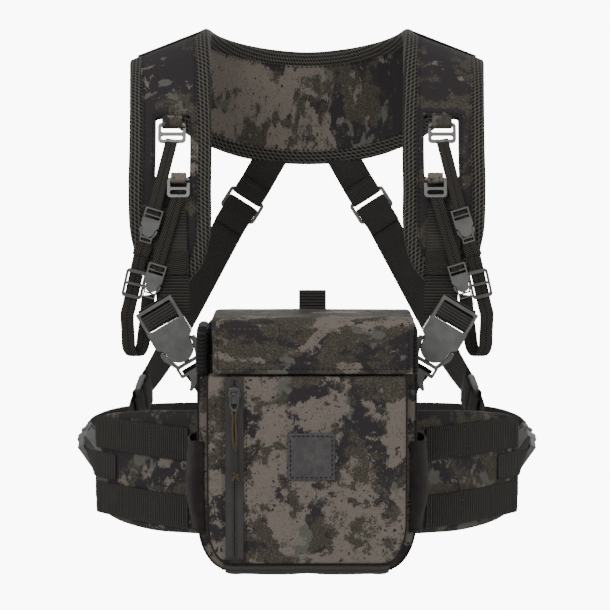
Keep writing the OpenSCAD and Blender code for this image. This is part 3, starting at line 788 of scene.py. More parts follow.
def crest(s, length):
    """Narrows a panel where it meets its neighbour at the shoulder's crest."""
    return 5.0 * (1 - math.sqrt(max(0.0, 1 - (1 - clamp(min(s, length - s) / 9)) ** 2)))


def yoke_half(s):
    return yoke_width(s) - crest(s, yoke_track.length)


def groove(distance, depth, width):
    """Depth of a sewn line at a distance from its middle."""
    return depth * math.exp(-(distance / width) ** 2)


def yoke_dent(a, s):
    """A second sewn line inside the neck edge."""
    return groove(yoke_half(s) + a - 19.0, 0.6, 0.8)


yoke = pad("yoke", yoke_track, yoke_half, PAD_T / 2, PAD_T / 2, 11, [CAMO_YOKE, MESH, CAMO_YOKE],
           nodes=("yoke_pad", "yoke_inner_face", "yoke_outer_face"), crown=0.8, spacing=7,
           ends=(False, False), wave=0.8, dent=yoke_dent)

for side, a_shift in (("neck", -1), ("blade", 1)):
    route = []
    for i in range(61):
        s = lerp(4, yoke_track.length - 4, i / 60)
        p, w, n = yoke_track.at(s)
        route.append(p + w * a_shift * (yoke_half(s) - 12.2) + n * (PAD_T / 2 + 0.1))
    stitches("yoke_stitch_" + side, route, (0, -1, 0.2), radius=0.3)

label_w, label_top, label_low = 20, -16, -54
outline = []
for x, z in [(-label_w, label_top), (-label_w, label_low + 8), (-label_w + 3, label_low + 2),
             (-label_w + 9, label_low), (0, label_low), (label_w - 9, label_low),
             (label_w - 3, label_low + 2), (label_w, label_low + 8), (label_w, label_top)]:
    t = (z - 6) / (-86 - 6)
    outline.append(vec(x, lerp(100, 106, t) - PAD_T / 2 - 0.5, z))
stitches("yoke_label_stitch", outline + [outline[0]], (0, -1, 0), PALE_THREAD, radius=0.2)

patch_p = [(0, 110.9, -17.5), (0, 111.9, -38), (0, 113.1, -58.5)]
pad("yoke_patch", Track(patch_p, vec(-1, 0, 0)), lambda s: 20, 0.7, 0.7, 0, [LEATHER, LEATHER, LEATHER],
    edge=0.6, wave=0.1)

# ---------------------------------------------------------------- shoulder pads

PAD_LINE = [(105, 2.4, 6.2), (105, -1.6, 6), (105, -16, 4), (104, -36, -9), (103, -56, -34),
            (102, -73, -65), (102, -86, -98), (101, -96, -130), (100, -102, -154), (99, -104, -168)]
PAD_FACE = [(0.36, 0.05, 0.93), (0.36, 0, 0.93), (0.33, -0.35, 0.87), (0.24, -0.75, 0.62),
            (0.1, -0.92, 0.4), (0, -0.93, 0.36), (0, -0.95, 0.3), (0, -0.97, 0.22), (0, -1, 0.1),
            (0, -1, 0.04)]
PAD_WIDTH = [66.5, 66.5, 66, 64, 62, 62, 62, 60, 46, 22]


def facing_track(line, normals, knots):
    """Track along a line whose faces look along the given normals."""
    pts, ns = smooth(line, knots), smooth(normals, knots)
    wide = []
    for i, n in enumerate(ns):
        run = pts[min(i + 1, len(pts) - 1)] - pts[max(i - 1, 0)]
        wide.append(n.cross(run))
    return Track(pts, wide, 1)


pad_track = facing_track(PAD_LINE, PAD_FACE, 8)
widths = [v.x / 2 for v in smooth([(w, 0, 0) for w in PAD_WIDTH], 8)]
pad_width = along(pad_track, widths)
FAR = 400    # a length whose other end never counts
opening = (-13.6, 10.6, pad_track.where(2, -46), pad_track.where(2, -90))


def pad_half(s):
    return pad_width(s) - (crest(s, FAR) if s < 20 else 0)


STRAP_TAIL = [(98.5, -112, -178), (98, -112, -190)]
web_s = pad_track.at_mm[52]
strap_pts = raised(pad_track, web_s, pad_track.length, PAD_T / 2 + 2.6, 10)
strap_track = Track(strap_pts + STRAP_TAIL, vec(1, 0, 0), 4)

for side, flip in SIDES:
    shoulder = pad("shoulder_pad_" + side, pad_track, pad_half, PAD_T / 2, PAD_T / 2, 10.5,
                   [CAMO_PAD, MESH, BACK_MESH], nodes=("shoulder_pad_" + side, "shoulder_face_" + side),
                   window=opening, crown=0.6, mirror=flip, ends=(False, True))
    for edge_side in (-1, 1):
        route = []
        for i in range(41):
            s = lerp(3, pad_track.length - 14, i / 40)
            p, w, n = pad_track.at(s)
            route.append(p + w * edge_side * (pad_half(s) - 11.8) + n * (PAD_T / 2 + 0.4))
        stitches("shoulder_stitch_%s_%s" % (side, "ab"[edge_side > 0]), route, (0, -0.95, 0.3),
                 radius=0.28, mirror=flip)
    rim = []
    for a, s in [(opening[0] - 2, opening[2] - 2), (opening[1] + 2, opening[2] - 2),
                 (opening[1] + 2, opening[3] + 2), (opening[0] - 2, opening[3] + 2)]:
        p, w, n = pad_track.at(s)
        rim.append(p + w * a + n * (PAD_T / 2 + 0.3))
    stitches("window_stitch_" + side, rim, (0, -0.95, 0.3), radius=0.28, mirror=flip, closed=True)
    p, w, n = yoke_track.at(0)
    ridge = [p + w * a + vec(0.36, 0, 0.93) * (PAD_T / 2 + 0.2) for a in (-26, -18, -9, 0, 9, 18, 26)]
    tube("crest_seam_" + side, ridge, 0.8, CAMO_PAD, mirror=flip)

    band("strap_web_" + side, strap_track, 25, 1.6, RIBBED, step=0.46, rib=0.3, pitch=2.3, mirror=flip)
    k0, k1 = strap_track.where(2, -143), strap_track.where(2, -160.5)
    band("strap_keeper_" + side, strap_track, 26.4, 3.6, nodes=("strap_keepers",),
         start=k0, end=k1, step=1.5, puff=lambda s: 0.35 * math.sin(s * 0.9), mirror=flip)
    p, w, n = strap_track.at(2.4)
    stitches("strap_bar_stitch_" + side, [p + w * -11 + n * 1.2, p + w * 11 + n * 1.2], n, PALE_THREAD,
             size=1.5, gap=1.2, radius=0.28, mirror=flip)

# ---------------------------------------------------------------- hooks and tethers

LEAN = math.radians(22)
hardware("hooks", HOOK, bevel=0.5, segments=3, node="g_hooks")


def pad_y(z):
    return pad_track.at(pad_track.where(2, z))[0].y


HOOK_AT = {"high": vec(101, pad_y(-56) - 1, -56), "low": vec(95, pad_y(-96) - 10.6, -96)}
for which, half_w, rise in (("high", 7.5, 11), ("low", 5.7, 9)):
    centre = HOOK_AT[which]
    local = [(2.4, rise + 2), (2.7, rise - 2), (2.7, 5), (1.9, 3.5), (0, 3.0), (-1.9, 3.5), (-2.7, 5),
             (-2.7, rise - 3), (-2.0, rise + 1)]
    turn = Matrix.Rotation(-LEAN, 3, "X")
    loop = Track([centre + turn @ vec(0, y, z) for y, z in local], vec(1, 0, 0), 4)
    for side, flip in SIDES:
        band("hook_tab_%s_%s" % (which, side), loop, 2 * half_w, 1.2, CAMO_SIDE,
             nodes=("hook_tabs",), puff=lambda s: 0.2, mirror=flip)

SCALE = 0.45
TETHER_LEAN = math.radians(17)
lean_axis = vec(-math.sin(TETHER_LEAN), 0, math.cos(TETHER_LEAN))
SOCKETS = {"high": vec(115.6, -109, -124.6), "low": vec(113, -114.7, -165)}


def plug_bar(c):
    return c - SCALE * 23.5 * lean_axis


for which, bow in (("high", -3), ("low", -2)):
    a = HOOK_AT[which] + vec(0, -2, -6)
    b = SOCKETS[which] + SCALE * 18 * lean_axis
    mid = (a + b) / 2 + vec(0, bow, 0)
    track = facing_track([a, mid, b], [(0, -1, 0.3)] * 3, 8)
    for side, flip in SIDES:
        band("tether_%s_%s" % (which, side), track, 9.2, 1.6, TETHER,
             nodes=("tether_straps_" + side,), mirror=flip)

RUN_LEAN = math.radians(12.8)
run_axis = vec(-math.sin(RUN_LEAN), 0, math.cos(RUN_LEAN))
TRIGLIDE = vec(127.2, -110, -167)


def on_run(d):
    return TRIGLIDE + run_axis * d


LOOP = [plug_bar(SOCKETS["high"]) + vec(0, 0.4, 0), vec(120, -109.6, -139.5),
        on_run(23), on_run(17), on_run(-16), on_run(-24),
        vec(132, -110, -203), vec(131.4, -110.4, -214), vec(128.6, -109.4, -219.6),
        vec(124.6, -106.6, -219.6), vec(121.6, -105.2, -213), vec(120, -105.6, -202),
        vec(118.2, -107.4, -190), vec(117.2, -111.6, -180), plug_bar(SOCKETS["low"]) + vec(0, 0.4, 0)]
turns = [12.8] * 7 + [6, 2, -2, -4, -6, -6, -6, -6]
loop_track = Track(LOOP, [vec(math.cos(math.radians(t)), 0, math.sin(math.radians(t))) for t in turns], 6)
for side, flip in SIDES:
    band("tether_loop_" + side, loop_track, 10.2, 1.2, TETHER, "tether_" + side,
         mirror=flip)
    band("tether_keeper_" + side, loop_track, 12, 2.6, TETHER, "tether_" + side,
         start=5.5, end=12.5, mirror=flip)
    hardware("tether_sockets_" + side, bevel=0.3)
    hardware("tether_plugs_" + side, body="tether_" + side, bevel=0.25)
    hardware("triglide_" + side, DARK_PLASTIC, "triglide_" + side, bevel=0.45)

# ---------------------------------------------------------------- main buckles

BUCKLE_AT = vec(97.5, -121.5, -207)
tilt = Matrix.Rotation(math.radians(31), 3, "Y")
FOLD = [(3.6, 31), (3.6, 25), (3, 19.5), (1.9, 14.3), (-1.9, 14.3), (-3, 19.5), (-2.6, 25.5)]
fold_track = Track([BUCKLE_AT + tilt @ vec(0, y, z) for y, z in FOLD], tilt @ vec(1, 0, 0), 6)
WEB = [(85.6, -121, -226.8), (83.4, -117.9, -230.2), (79, -115.4, -236), (75.5, -113.6, -242),
       (72, -112.9, -248)]
web_track = Track(WEB, vec(0.86, 0, -0.51), 4)
for side, flip in SIDES:
    hardware("buckle_socket_" + side, body="strap_buckle_" + side, bevel=0.7, segments=3)
    hardware("buckle_plug_" + side, bevel=0.5)
    band("strap_fold_" + side, fold_track, 25, 1.2, RIBBED, "strap_buckle_" + side,
         nodes=("strap_loop_" + side,), step=0.46, rib=0.2, pitch=2.3, mirror=flip)
    band("pack_web_" + side, web_track, 15, 1.2, nodes=("pack_webs",), mirror=flip)

# ---------------------------------------------------------------- pack body

FLOOR, RIM, FRONT = -369.0, -226.0, -172.0    # underside, rim and front wall of the body
BODY, PANEL = 79.0, -112.0                    # half width, and the front face of the back panel


def upright(x, y, heights, facing=1):
    """Straight track down through the heights, facing the front for 1 and the back for -1."""
    return Track([(x, y, z) for z in heights], vec(facing, 0, 0))


def corner_half(half, bottom, rx, rz, z):
    """Half width at height z of an outline with round lower corners."""
    t = clamp((bottom + rz - z) / rz)
    return half - rx + rx * math.sqrt(max(0.0, 1 - t * t))


def body_ring(z, grow, back_grow=0.0):
    """Closed loop round the body at height z, grown outwards by grow."""
    half = corner_half(BODY + grow, FLOOR - grow, 22, 36, z)
    y0, y1 = FRONT - grow, PANEL + back_grow
    soft = min(5.0 + grow, half * 0.4)
    back = min(24.0 + grow, half * 0.6)
    loop = []

    def side(start, end, parts):
        for i in range(parts + 1):
            loop.append([lerp(p, q, i / parts) for p, q in zip(start, end)])

    def turn(x, y, radius, quarter, parts):
        for k in range(1, parts):
            t = math.pi / 2 * (quarter + k / parts)
            loop.append((x + radius * math.cos(t), y + radius * math.sin(t)))

    side((soft - half, y0), (half - soft, y0), 12)
    turn(half - soft, y0 + soft, soft, -1, 4)
    side((half, y0 + soft), (half, y1 - back), 6)
    turn(half - back, y1 - back, back, 0, 6)
    side((half - back, y1), (back - half, y1), 8)
    turn(back - half, y1 - back, back, 1, 6)
    side((-half, y1 - back), (-half, y0 + soft), 6)
    turn(soft - half, y0 + soft, soft, 2, 4)
    return [vec(x, y, z) for x, y in loop]


def bag(name, rows, materials, nodes, picks_at=None, creases=0.0):
    """Lofted bag wall: rows are (height, growth) from the outer floor up and back down inside."""
    verts, picks = [], []
    for k, (z, grow) in enumerate(rows):
        ring = body_ring(z, grow, min(0.0, grow))
        for v in ring:
            fold = creases * noise.noise(v * 0.035) if abs(v.y - PANEL) > 6 else 0
            out = vec(v.x, (v.y + 142) * 1.5, 0).normalized()
            verts.append(v + out * fold)
    count = len(body_ring(RIM, 0))
    faces = ring_faces(len(rows), count)
    picks = [picks_at(f // count) if picks_at else 0 for f in range(len(faces))]
    faces.append(tuple(reversed(range(count))))
    faces.append(tuple(range((len(rows) - 1) * count, len(rows) * count)))
    picks += [0, picks[-1]]
    return make(name, verts, faces, materials, "pack", nodes, picks=picks, subsurf=1)


heights = [FLOOR + h for h in (0.2, 1.2, 3, 6, 10, 16, 24, 34, 48, 64, 80, 96, 112, 126, 136, 141)]
outer = [(z, -0.15) for z in heights] + [(RIM - 0.4, -0.5), (RIM, -1.6), (RIM - 0.3, -2.8)]
inner = [(z, -3.4) for z in (RIM - 2, RIM - 8, -260, -290, -320, -345, -358, -363, -365.3)]
bag("pack_body", outer + inner, [CAMO_SIDE, DARK], ("pack_shell",),
    lambda k: 0 if k < len(outer) - 2 else 1, creases=0.5)
rows = [(z, -3.9) for z in (-365, -363, -357, -345, -320, -290, -260, RIM - 6, RIM - 2.4)]
rows += [(RIM - 2.2, -4.5), (RIM - 2.6, -5.2)]
rows += [(z, -5.3) for z in (RIM - 8, -260, -290, -320, -345, -356, -361, -363.4)]
bag("pack_lining", rows, [BACK_MESH], ("pack_lining",), None, 0.3)


def bag_half(half, top, bottom, rx, rz, r_top=3.0):
    def value(s):
        z = top - s
        w = corner_half(half, bottom, rx, rz, z)
        return w - r_top + math.sqrt(max(0.0, r_top ** 2 - max(0.0, r_top - s) ** 2))
    return value


def ellipse_gap(half, length, rx, rz):
    """Distance in from the rounded lower corners of a panel."""
    def value(a, s):
        u, v = (abs(a) - (half - rx)) / rx, (s - (length - rz)) / rz
        if u <= 0 or v <= 0:
            return 99.0
        return (1 - math.hypot(u, v)) * min(rx, rz)
    return value


pocket_top, pocket_low = RIM - 0.4, -362.0
pocket_len = pocket_top - pocket_low
pocket_track = upright(0, -172.6, (pocket_top, (pocket_top + pocket_low) / 2, pocket_low))


def pocket_dent(a, s):
    """Seam lines either side of the zip tape and soft creases over the pouch."""
    seam = groove(a + 59.3, 1.3, 1.0) + groove(a + 43.6, 1.1, 1.0)
    flat = 0.5 if -59 < a < -44 else 0.0
    fold = 0.5 * noise.noise(vec(a * 0.03, s * 0.05, 3.1))
    fold += 0.25 * noise.noise(vec(a * 0.11, s * 0.09, 1))
    return seam + flat + (fold if a > -42 else 0.0)


pocket = pad("front_pocket", pocket_track, bag_half(71, pocket_top, pocket_low, 16, 30), 12.5, 0.2, 0,
             [CAMO_FRONT, CAMO_FRONT, DARK], edge=3.2, inset=0, crown=1.0, spacing=5, wave=0.3,
             corners=ellipse_gap(71, pocket_len, 16, 30), dent=pocket_dent)


def bag_edge(half, top, bottom, rx, rz, y, inset=0.0):
    """Points round the sides and lower corners of a front outline."""
    half, bottom, rx, rz = half - inset, bottom + inset, rx - inset * 0.4, rz - inset * 0.4
    pts = [vec(-half, y, z) for z in (top, lerp(top, bottom + rz, 0.5), bottom + rz)]
    for k in range(1, 8):
        t = math.radians(180 + 90 * k / 8)
        pts.append(vec(-half + rx + rx * math.cos(t), y, bottom + rz + rz * math.sin(t)))
    return whole(pts + [vec(rx - half, y, bottom), vec(0, y, bottom)])


tube("pocket_piping", bag_edge(71, pocket_top - 1, pocket_low, 16, 30, -183.4, 0.4), 0.75)
tube("body_piping", bag_edge(78.6, RIM - 1, FLOOR + 0.6, 22, 36, -171.4, 0.6), 0.7)
tube("body_back_piping", bag_edge(74, RIM, FLOOR + 0.8, 22, 36, -113.6, 0.8), 1.2)

seam_z = [(-43.2, -185.6, z) for z in (-228, -260, -300, -340, -356)]
stitches("zip_seam_stitch", seam_z, (0, -1, 0), radius=0.26)

# back panel and rim ears
panel_track = upright(0, -108, (-192, -280, FLOOR), -1)


def panel_channels(a, s):
    return groove(abs(a) - 24, 0.9, 1.4) * clamp((s - 20) / 10)


panel = pad("back_panel", panel_track, bag_half(74, -192, FLOOR, 22, 36, 8.0), 4, 4, 9,
            [BACK_MESH, DARK, DARK], edge=3.2, spacing=6,
            corners=ellipse_gap(74, 177, 22, 36), dent=panel_channels)

ear_track = Track([(75, -152, RIM + 0.4), (75, -152, -210), (75, -152, -192.2)], vec(0, -1, 0))
ear_len = ear_track.length


def ear_half(s):
    return 18 + 10 * math.sqrt(max(0.02, 1 - max(0.0, (s - ear_len + 10) / 10) ** 2))


for side, flip in SIDES:
    ear = pad("rim_ear_" + side, ear_track, ear_half, 4.2, 4.2, 0, [BACK_MESH] * 3,
              nodes=("rim_gusset",), edge=4.1, spacing=5, mirror=flip, ends=(False, True), wave=1.6)
low_front = Track([(-78, -169.4, -219), (0, -169.4, -219), (78, -169.4, -219)], vec(0, 0, -1))
pad("rim_front", low_front, lambda s: 6.6, 1.4, 1.4, 0, [DARK, DARK, DARK],
    nodes=("rim_gusset",), edge=1.3, spacing=8)

# side pockets: stretch cloth from the front pocket's seam round the body's side
POUCH = [(-5.6, -173.4), (-2.6, -172.9), (1.6, -171.6), (5.0, -168.4), (7.0, -163.5), (8.3, -156),
         (8.6, -146), (8.0, -137), (6.2, -130), (3.2, -126.4), (0.6, -124.6)]
POUCH_DROPS = (0, 0.6, 1.6, 4, 9, 16, 24, 32, 39, 45, 51, 56, 60, 63, 65)


def pouch_point(t, drop, inside):
    """Point of the pocket's cloth, t from its front seam to its back, drop below its hem."""
    shape = pouch_curve.at(t * pouch_curve.length)[0]
    z = -275.0 - drop
    base = corner_half(BODY, FLOOR + 2, 23, 38, z)
    full = 0.8 + 0.2 * ease(drop / 26) - 0.6 * ease((drop - 38) / 27)
    sides = min(1.0, 5 * t, 5 * (1 - t))
    gather = 0.55 * math.sin(t * 46 + 2 * noise.noise(vec(t * 5, drop * 0.03, 0)))
    gather *= ease((drop - 38) / 22)
    fold = 0.8 * noise.noise(vec(t * 2.5, drop * 0.035, 5))
    fold += 0.3 * noise.noise(vec(t * 9, drop * 0.02, 8))
    out = base + 0.4 + (shape.x * full if shape.x > 0 else shape.x) + (gather + fold) * sides
    return vec(out - inside * (1.2 if shape.x > 1 else 0.2), shape.y, z)


pouch_curve = Track([(x, y, 0) for x, y in POUCH], vec(0, 0, 1), 4)
pouch_columns = 44
for side, flip in SIDES:
    verts, uvs, faces = [], [], []
    for layer in (0, 1):
        for drop in POUCH_DROPS:
            for j in range(pouch_columns + 1):
                t = j / pouch_columns
                verts.append(pouch_point(t, drop, layer))
                uvs.append((t * pouch_curve.length, drop))
    count, rows_n = pouch_columns + 1, len(POUCH_DROPS)
    one = rows_n * count
    for f in ring_faces(rows_n, count, closed=False):
        faces.append(tuple(reversed(f)))
        faces.append(tuple(one + v for v in f))
    for j in range(pouch_columns):
        last = (rows_n - 1) * count
        faces.append((j, j + 1, one + j + 1, one + j))
        faces.append((last + j + 1, last + j, one + last + j, one + last + j + 1))
    for i in range(rows_n - 1):
        for j, way in ((0, 1), (pouch_columns, -1)):
            quad = (i * count + j, one + i * count + j, one + (i + 1) * count + j, (i + 1) * count + j)
            faces.append(quad if way > 0 else tuple(reversed(quad)))
    make("side_pocket_" + side, verts, faces, [STRETCH], "pack", ("side_pocket_" + side,), uvs,
         mirror=flip, subsurf=1)
    hem = [pouch_point(t / 20, 0.6, 0.5) for t in range(21)]
    tube("side_pocket_hem_" + side, hem, 1.0, knots=2, mirror=flip)
    foot = [pouch_point(t / 20, 64.6, 0.4) + vec(0.2, 0, -0.2) for t in range(21)]
    tube("side_pocket_foot_" + side, foot, 0.9, knots=2, mirror=flip)

# base strip
STRIP_TACKS = (-59, -43, 0, 43, 59)
STRIP = [(-184.6, -362.9), (-180, -364.2), (-175.5, -366.6), (-172.6, -369.9), (-166, -371.2),
         (-158, -370.6)]
strip_track = Track([(0, y, z) for y, z in STRIP], vec(1, 0, 0), 4)


def strip_dent(a, s):
    """Loops that sag a little between the tacks."""
    near = min(abs(a - t) for t in STRIP_TACKS)
    return groove(near, 1.1, 2.2) - 0.5 * ease(near / 12)


pad("base_strip", strip_track, lambda s: 59, 0.9, 0.5, 0, [RIBBED] * 3, edge=0.5,
    inset=0, spacing=3, wave=0.1, dent=strip_dent)

# ---------------------------------------------------------------- zip

ZIP_X = -51.5
tape_low, tape_high = low("zip_tape"), high("zip_tape")
zip_track = upright(ZIP_X, tape_high.y - 0.35, (tape_high.z, -290, tape_low.z))
band("zip_tape", zip_track, 13, 0.8, COATED, step=3)
coil_track = upright(ZIP_X, tape_high.y - 0.9, (tape_high.z - 2, -290, tape_low.z + 2))
band("zip_coil", coil_track, 3.2, 0.8, COIL, step=0.31, rib=0.16, pitch=1.25)
hardware("zip_slider", GUNMETAL, "zip_slider", 0.5, 3)
PIN = vec(ZIP_X, -192.4, -239.0)    # where the ring hangs from the slider


def on_pull(x, y, z):
    return PIN + vec(x, y, z)


ring = []
for k in range(17):
    t = math.pi * 2 * k / 16 + math.pi / 2
    ring.append(on_pull(2.9 * math.cos(t), -0.4 - 0.3 * math.sin(t), -5.2 + 6.2 * math.sin(t)))
tube("pull_ring", ring, 0.75, GUNMETAL, "zip_pull", ("zip_pull",), knots=3)
for k, bend in enumerate((-1, 1)):
    strand = [on_pull(bend * 0.8, 0, -9.8), on_pull(bend * 1.5, -0.5, -13), on_pull(bend * 0.9, 0, -17),
              on_pull(bend * 1.3, 0, -26), on_pull(bend * 0.9 + 0.5, 0, -35),
              on_pull(bend * 0.4 + 0.6, 0, -41)]
    tube("pull_strand_" + "ab"[k], strand, 0.62, CORD, "zip_pull")
    knot_end = [on_pull(1.2, 0, -57), on_pull(1.0 + bend, -0.6, -59), on_pull(1.0 + bend * 2.2, 0, -61.2)]
    tube("pull_end_" + "ab"[k], knot_end, 0.7, CORD, "zip_pull",
         swell=lambda t: 1 + 0.3 * math.sin(t * 14))
knot = [on_pull(*at) for at in ((0.2, -0.8, -15), (1.6, 0, -15.6), (0, 0.8, -15.2), (-1.6, 0, -14.6),
                                (0, -0.9, -14.2))]
tube("pull_knot_high", knot, 0.65, CORD, "zip_pull")
tube("pull_knot_low", [v + vec(1.2, 0, -41.6) for v in knot], 0.85, CORD, "zip_pull")
tube("pull_tube", [on_pull(0.7, 0, -38), on_pull(1.0, 0, -46), on_pull(1.2, 0, -55)], 1.5, TUBE,
     "zip_pull", swell=lambda t: 1.0 + 0.06 * math.cos(t * 9))

# ---------------------------------------------------------------- leather patch

plow, phigh = low("leather_patch"), high("leather_patch")
px, pz, ps = (plow.x + phigh.x) / 2, (plow.z + phigh.z) / 2, (phigh.x - plow.x) / 2
py = (plow.y + phigh.y) / 2
PATCH_SEAM = 2.2    # from the patch's edge to its stitches
patch_track = upright(px, py, (phigh.z, pz, plow.z))
pad("leather_patch", patch_track, lambda s: ps, 0.9, 0.9, 0, [LEATHER, LEATHER, LEATHER],
    edge=0.7, wave=0.15, dent=lambda a, s: groove(ps - PATCH_SEAM - max(abs(a), abs(s - ps)), 0.25, 0.6))
near_x, far_x = px - ps + PATCH_SEAM, px + ps - PATCH_SEAM
sq = [vec(x, py - 0.95, z) for x, z in ((near_x, phigh.z - PATCH_SEAM), (far_x, phigh.z - PATCH_SEAM),
                                        (far_x, plow.z + PATCH_SEAM), (near_x, plow.z + PATCH_SEAM))]
stitches("patch_stitch", sq, (0, -1, 0), size=2.1, radius=0.34, closed=True)

# ---------------------------------------------------------------- lid

lid_lo, lid_hi = low("lid_shell"), high("lid_shell")
LID_T = 4.0
profile = [(-184, lid_lo.z), (-184, -212), (-184, -200), (-183.4, -192.5), (-180.6, -188.9), (-177, -188),
           (-160, -188), (-135, -188), (-108, -188), (lid_hi.y, -188)]
lid_track = Track([(0, y, z) for y, z in reversed(profile)], vec(1, 0, 0), 6)
lid_mid, lid_half = (lid_lo.x + lid_hi.x) / 2, (lid_hi.x - lid_lo.x) / 2
crease_s = lid_track.where(2, -192)
lid_track.p = [v + vec(lid_mid, 0, 0) for v in lid_track.p]


def lid_dent(a, s):
    """Sewn crease where the top turns down, and the hem's stitch line."""
    crease = groove(s - crease_s, 0.9, 1.0)
    hem = groove(lid_track.length - s - 4.0, 0.5, 0.7)
    fold = 0.6 * noise.noise(vec(a * 0.03, s * 0.04, 9)) + 0.3 * noise.noise(vec(a * 0.09, s * 0.1, 2))
    return crease + hem + fold * clamp((s - crease_s) / 8)


def lid_width(s):
    r = 7.0
    back = lid_half - r + math.sqrt(max(0.0, r * r - max(0.0, r - s) ** 2))
    return back - 0.9 * ease((s - crease_s) / 6)


lid = pad("lid", lid_track, lid_width, LID_T / 2, LID_T / 2, 0, [CAMO_LID, CAMO_LID, DARK], "lid",
          nodes=("lid_shell",), edge=1.8, inset=0, crown=0.4, spacing=5, dent=lid_dent)


def on_lid(a, s, lift=LID_T / 2 + 0.25):
    p, w, n = lid_track.at(s)
    return p + w * a + n * lift


L = lid_track.length
front_n = (0, -1, 0.1)
stitches("lid_hem_stitch", [on_lid(a, L - 4.0) for a in (-69, -35, 0, 35, 69)], front_n, body="lid")
stitches("lid_crease_stitch", [on_lid(a, crease_s + 1.6, 1.6) for a in (-69, -35, 0, 35, 69)], front_n,
         PALE_THREAD, "lid", radius=0.22)
for k, a in enumerate((-67.4, 67.4)):
    stitches("lid_side_stitch_" + "ab"[k],
             [on_lid(a, s) for s in (crease_s + 3, crease_s + 14, L - 14, L - 5)], front_n, body="lid",
             radius=0.26)
hardware("lid_magnet", GUNMETAL, "lid", 0.3)
hardware("body_magnet", GUNMETAL, bevel=0.3)
tab_lo, tab_hi = low("pull_tab"), high("pull_tab")
tab_x, tab_y = (tab_lo.x + tab_hi.x) / 2, (tab_lo.y + tab_hi.y) / 2
tab_track = Track([(tab_x, tab_y, tab_lo.z), (tab_x, tab_y, -182), (tab_x, tab_y - 0.3, tab_hi.z)],
                  vec(-1, 0, 0))
band("pull_tab", tab_track, tab_hi.x - tab_lo.x, 1.6, RIBBED, "lid", step=0.46, rib=0.2, pitch=2.3)

# ---------------------------------------------------------------- belt wings

WING = [(78, -101, 0), (90, -92, 0), (116, -69, 0), (142, -42, 0), (157, -23, 0), (163, -14, 0)]
WING_HIGH = [-262, -263, -266, -271, -276, -284]
WING_LOW = [-355, -356, -358, -356, -350, -340]
plan = smooth(WING, 6)
tops = [v.x for v in smooth([(z, 0, 0) for z in WING_HIGH], 6)]
lows = [v.x for v in smooth([(z, 0, 0) for z in WING_LOW], 6)]
wing_track = Track([vec(p.x, p.y, (t + l) / 2) for p, t, l in zip(plan, tops, lows)], vec(0, 0, 1), 1)
wing_half = along(wing_track, [(t - l) / 2 for t, l in zip(tops, lows)])


def wing_point(s, z, lift):
    p, w, n = wing_track.at(s)
    n = vec(n.x, n.y, 0).normalized()
    return vec(p.x, p.y, z) + n * lift


probe = wing_track.at(20)[2]
outward = 1 if probe.dot(vec(0.6, -0.8, 0)) > 0 else -1
for side, flip in SIDES:
    wing = pad("belt_wing_" + side, wing_track, wing_half, 4.5, 4.5, 2.2,
               [CAMO_WING, CAMO_WING, BACK_MESH] if outward > 0 else [BACK_MESH, CAMO_WING, CAMO_WING],
               edge=4.2, inset=0.3, crown=0.4, spacing=5, mirror=flip)
    for k, z in enumerate((-288, -339)):
        s0, s1 = wing_track.length * 0.07, wing_track.length * 0.93
        pts = [wing_point(lerp(s0, s1, i / 20), z, outward * (PAD_T / 2 + 1.3)) for i in range(21)]
        row = Track(pts, vec(0, 0, outward), 2)
        tacks = [row.length * f for f in (0.04, 0.36, 0.68, 0.97)]

        def bow(s, tacks=tacks):
            near = min(abs(s - t) for t in tacks)
            return 0.7 * ease(near / 9) - groove(near, 0.35, 1.4)
        band("molle_row_%s_%s" % ("ab"[k], side), row, 25, 1.5, RIBBED, nodes=("molle_rows",), step=0.44,
             rib=0.28, puff=bow, mirror=flip)
        for m, t in enumerate(tacks):
            p, w, n = row.at(t)
            stitches("molle_tack_%s_%d_%s" % ("ab"[k], m, side),
                     [p + w * -10.5 + n * 1.2, p + w * 10.5 + n * 1.2], n, PALE_THREAD,
                     size=1.5, gap=0.9, radius=0.26, mirror=flip)

BELT_AXIS = vec(0, 0.95, 0.3).normalized()
BELT_ACROSS = BELT_AXIS.cross(vec(0.5, 0, 0.86)).cross(BELT_AXIS).normalized()
BELT_AT = vec(171, 24, -306)
bar = BELT_AT - BELT_AXIS * 0.9 * 18
BELT_Z, BELT_LIFT = -313.5, outward * (PAD_T / 2 + 1.0)
belt_pts = [wing_point(wing_track.length * f, BELT_Z, BELT_LIFT) for f in (0.72, 0.8, 0.88, 0.95)]
end = wing_point(wing_track.length, BELT_Z, BELT_LIFT)
belt_pts += [end + vec(0, 4, 0), vec(171.5, 3, -312), bar]
turn = [vec(0, 0, 1)] * 4 + [lerp(vec(0, 0, 1), BELT_ACROSS, t) for t in (0.3, 0.7, 1)]
belt_track = Track(belt_pts, turn, 5)
REAR = [(171, 46.5, -298.8), (167, 62, -296), (152, 88, -294), (122, 112, -294), (80, 126, -295),
        (38, 132, -296), (0, 133, -296)]
rear_pts = whole(REAR)
rear_w = []
for i, p in enumerate(rear_pts):
    f = max(0.0, 1 - min(i, len(rear_pts) - 1 - i) / 2)
    sign = 1 if i < len(rear_pts) / 2 else -1
    rear_w.append(vec(sign * f * BELT_ACROSS.x, f * BELT_ACROSS.y, f * BELT_ACROSS.z + 1 - f))
band("rear_strap", Track(rear_pts, rear_w, 6), 20, 1.6, body="rear_belt")
hardware("belt_plugs", body="rear_belt", bevel=0.4)
for side, flip in SIDES:
    band("belt_web_" + side, belt_track, 20, 1.4, RIBBED, nodes=("belt_webs",), step=0.44, rib=0.2,
         mirror=flip)
    hardware("belt_socket_" + side, bevel=0.6, segments=3)

# ---------------------------------------------------------------- back straps

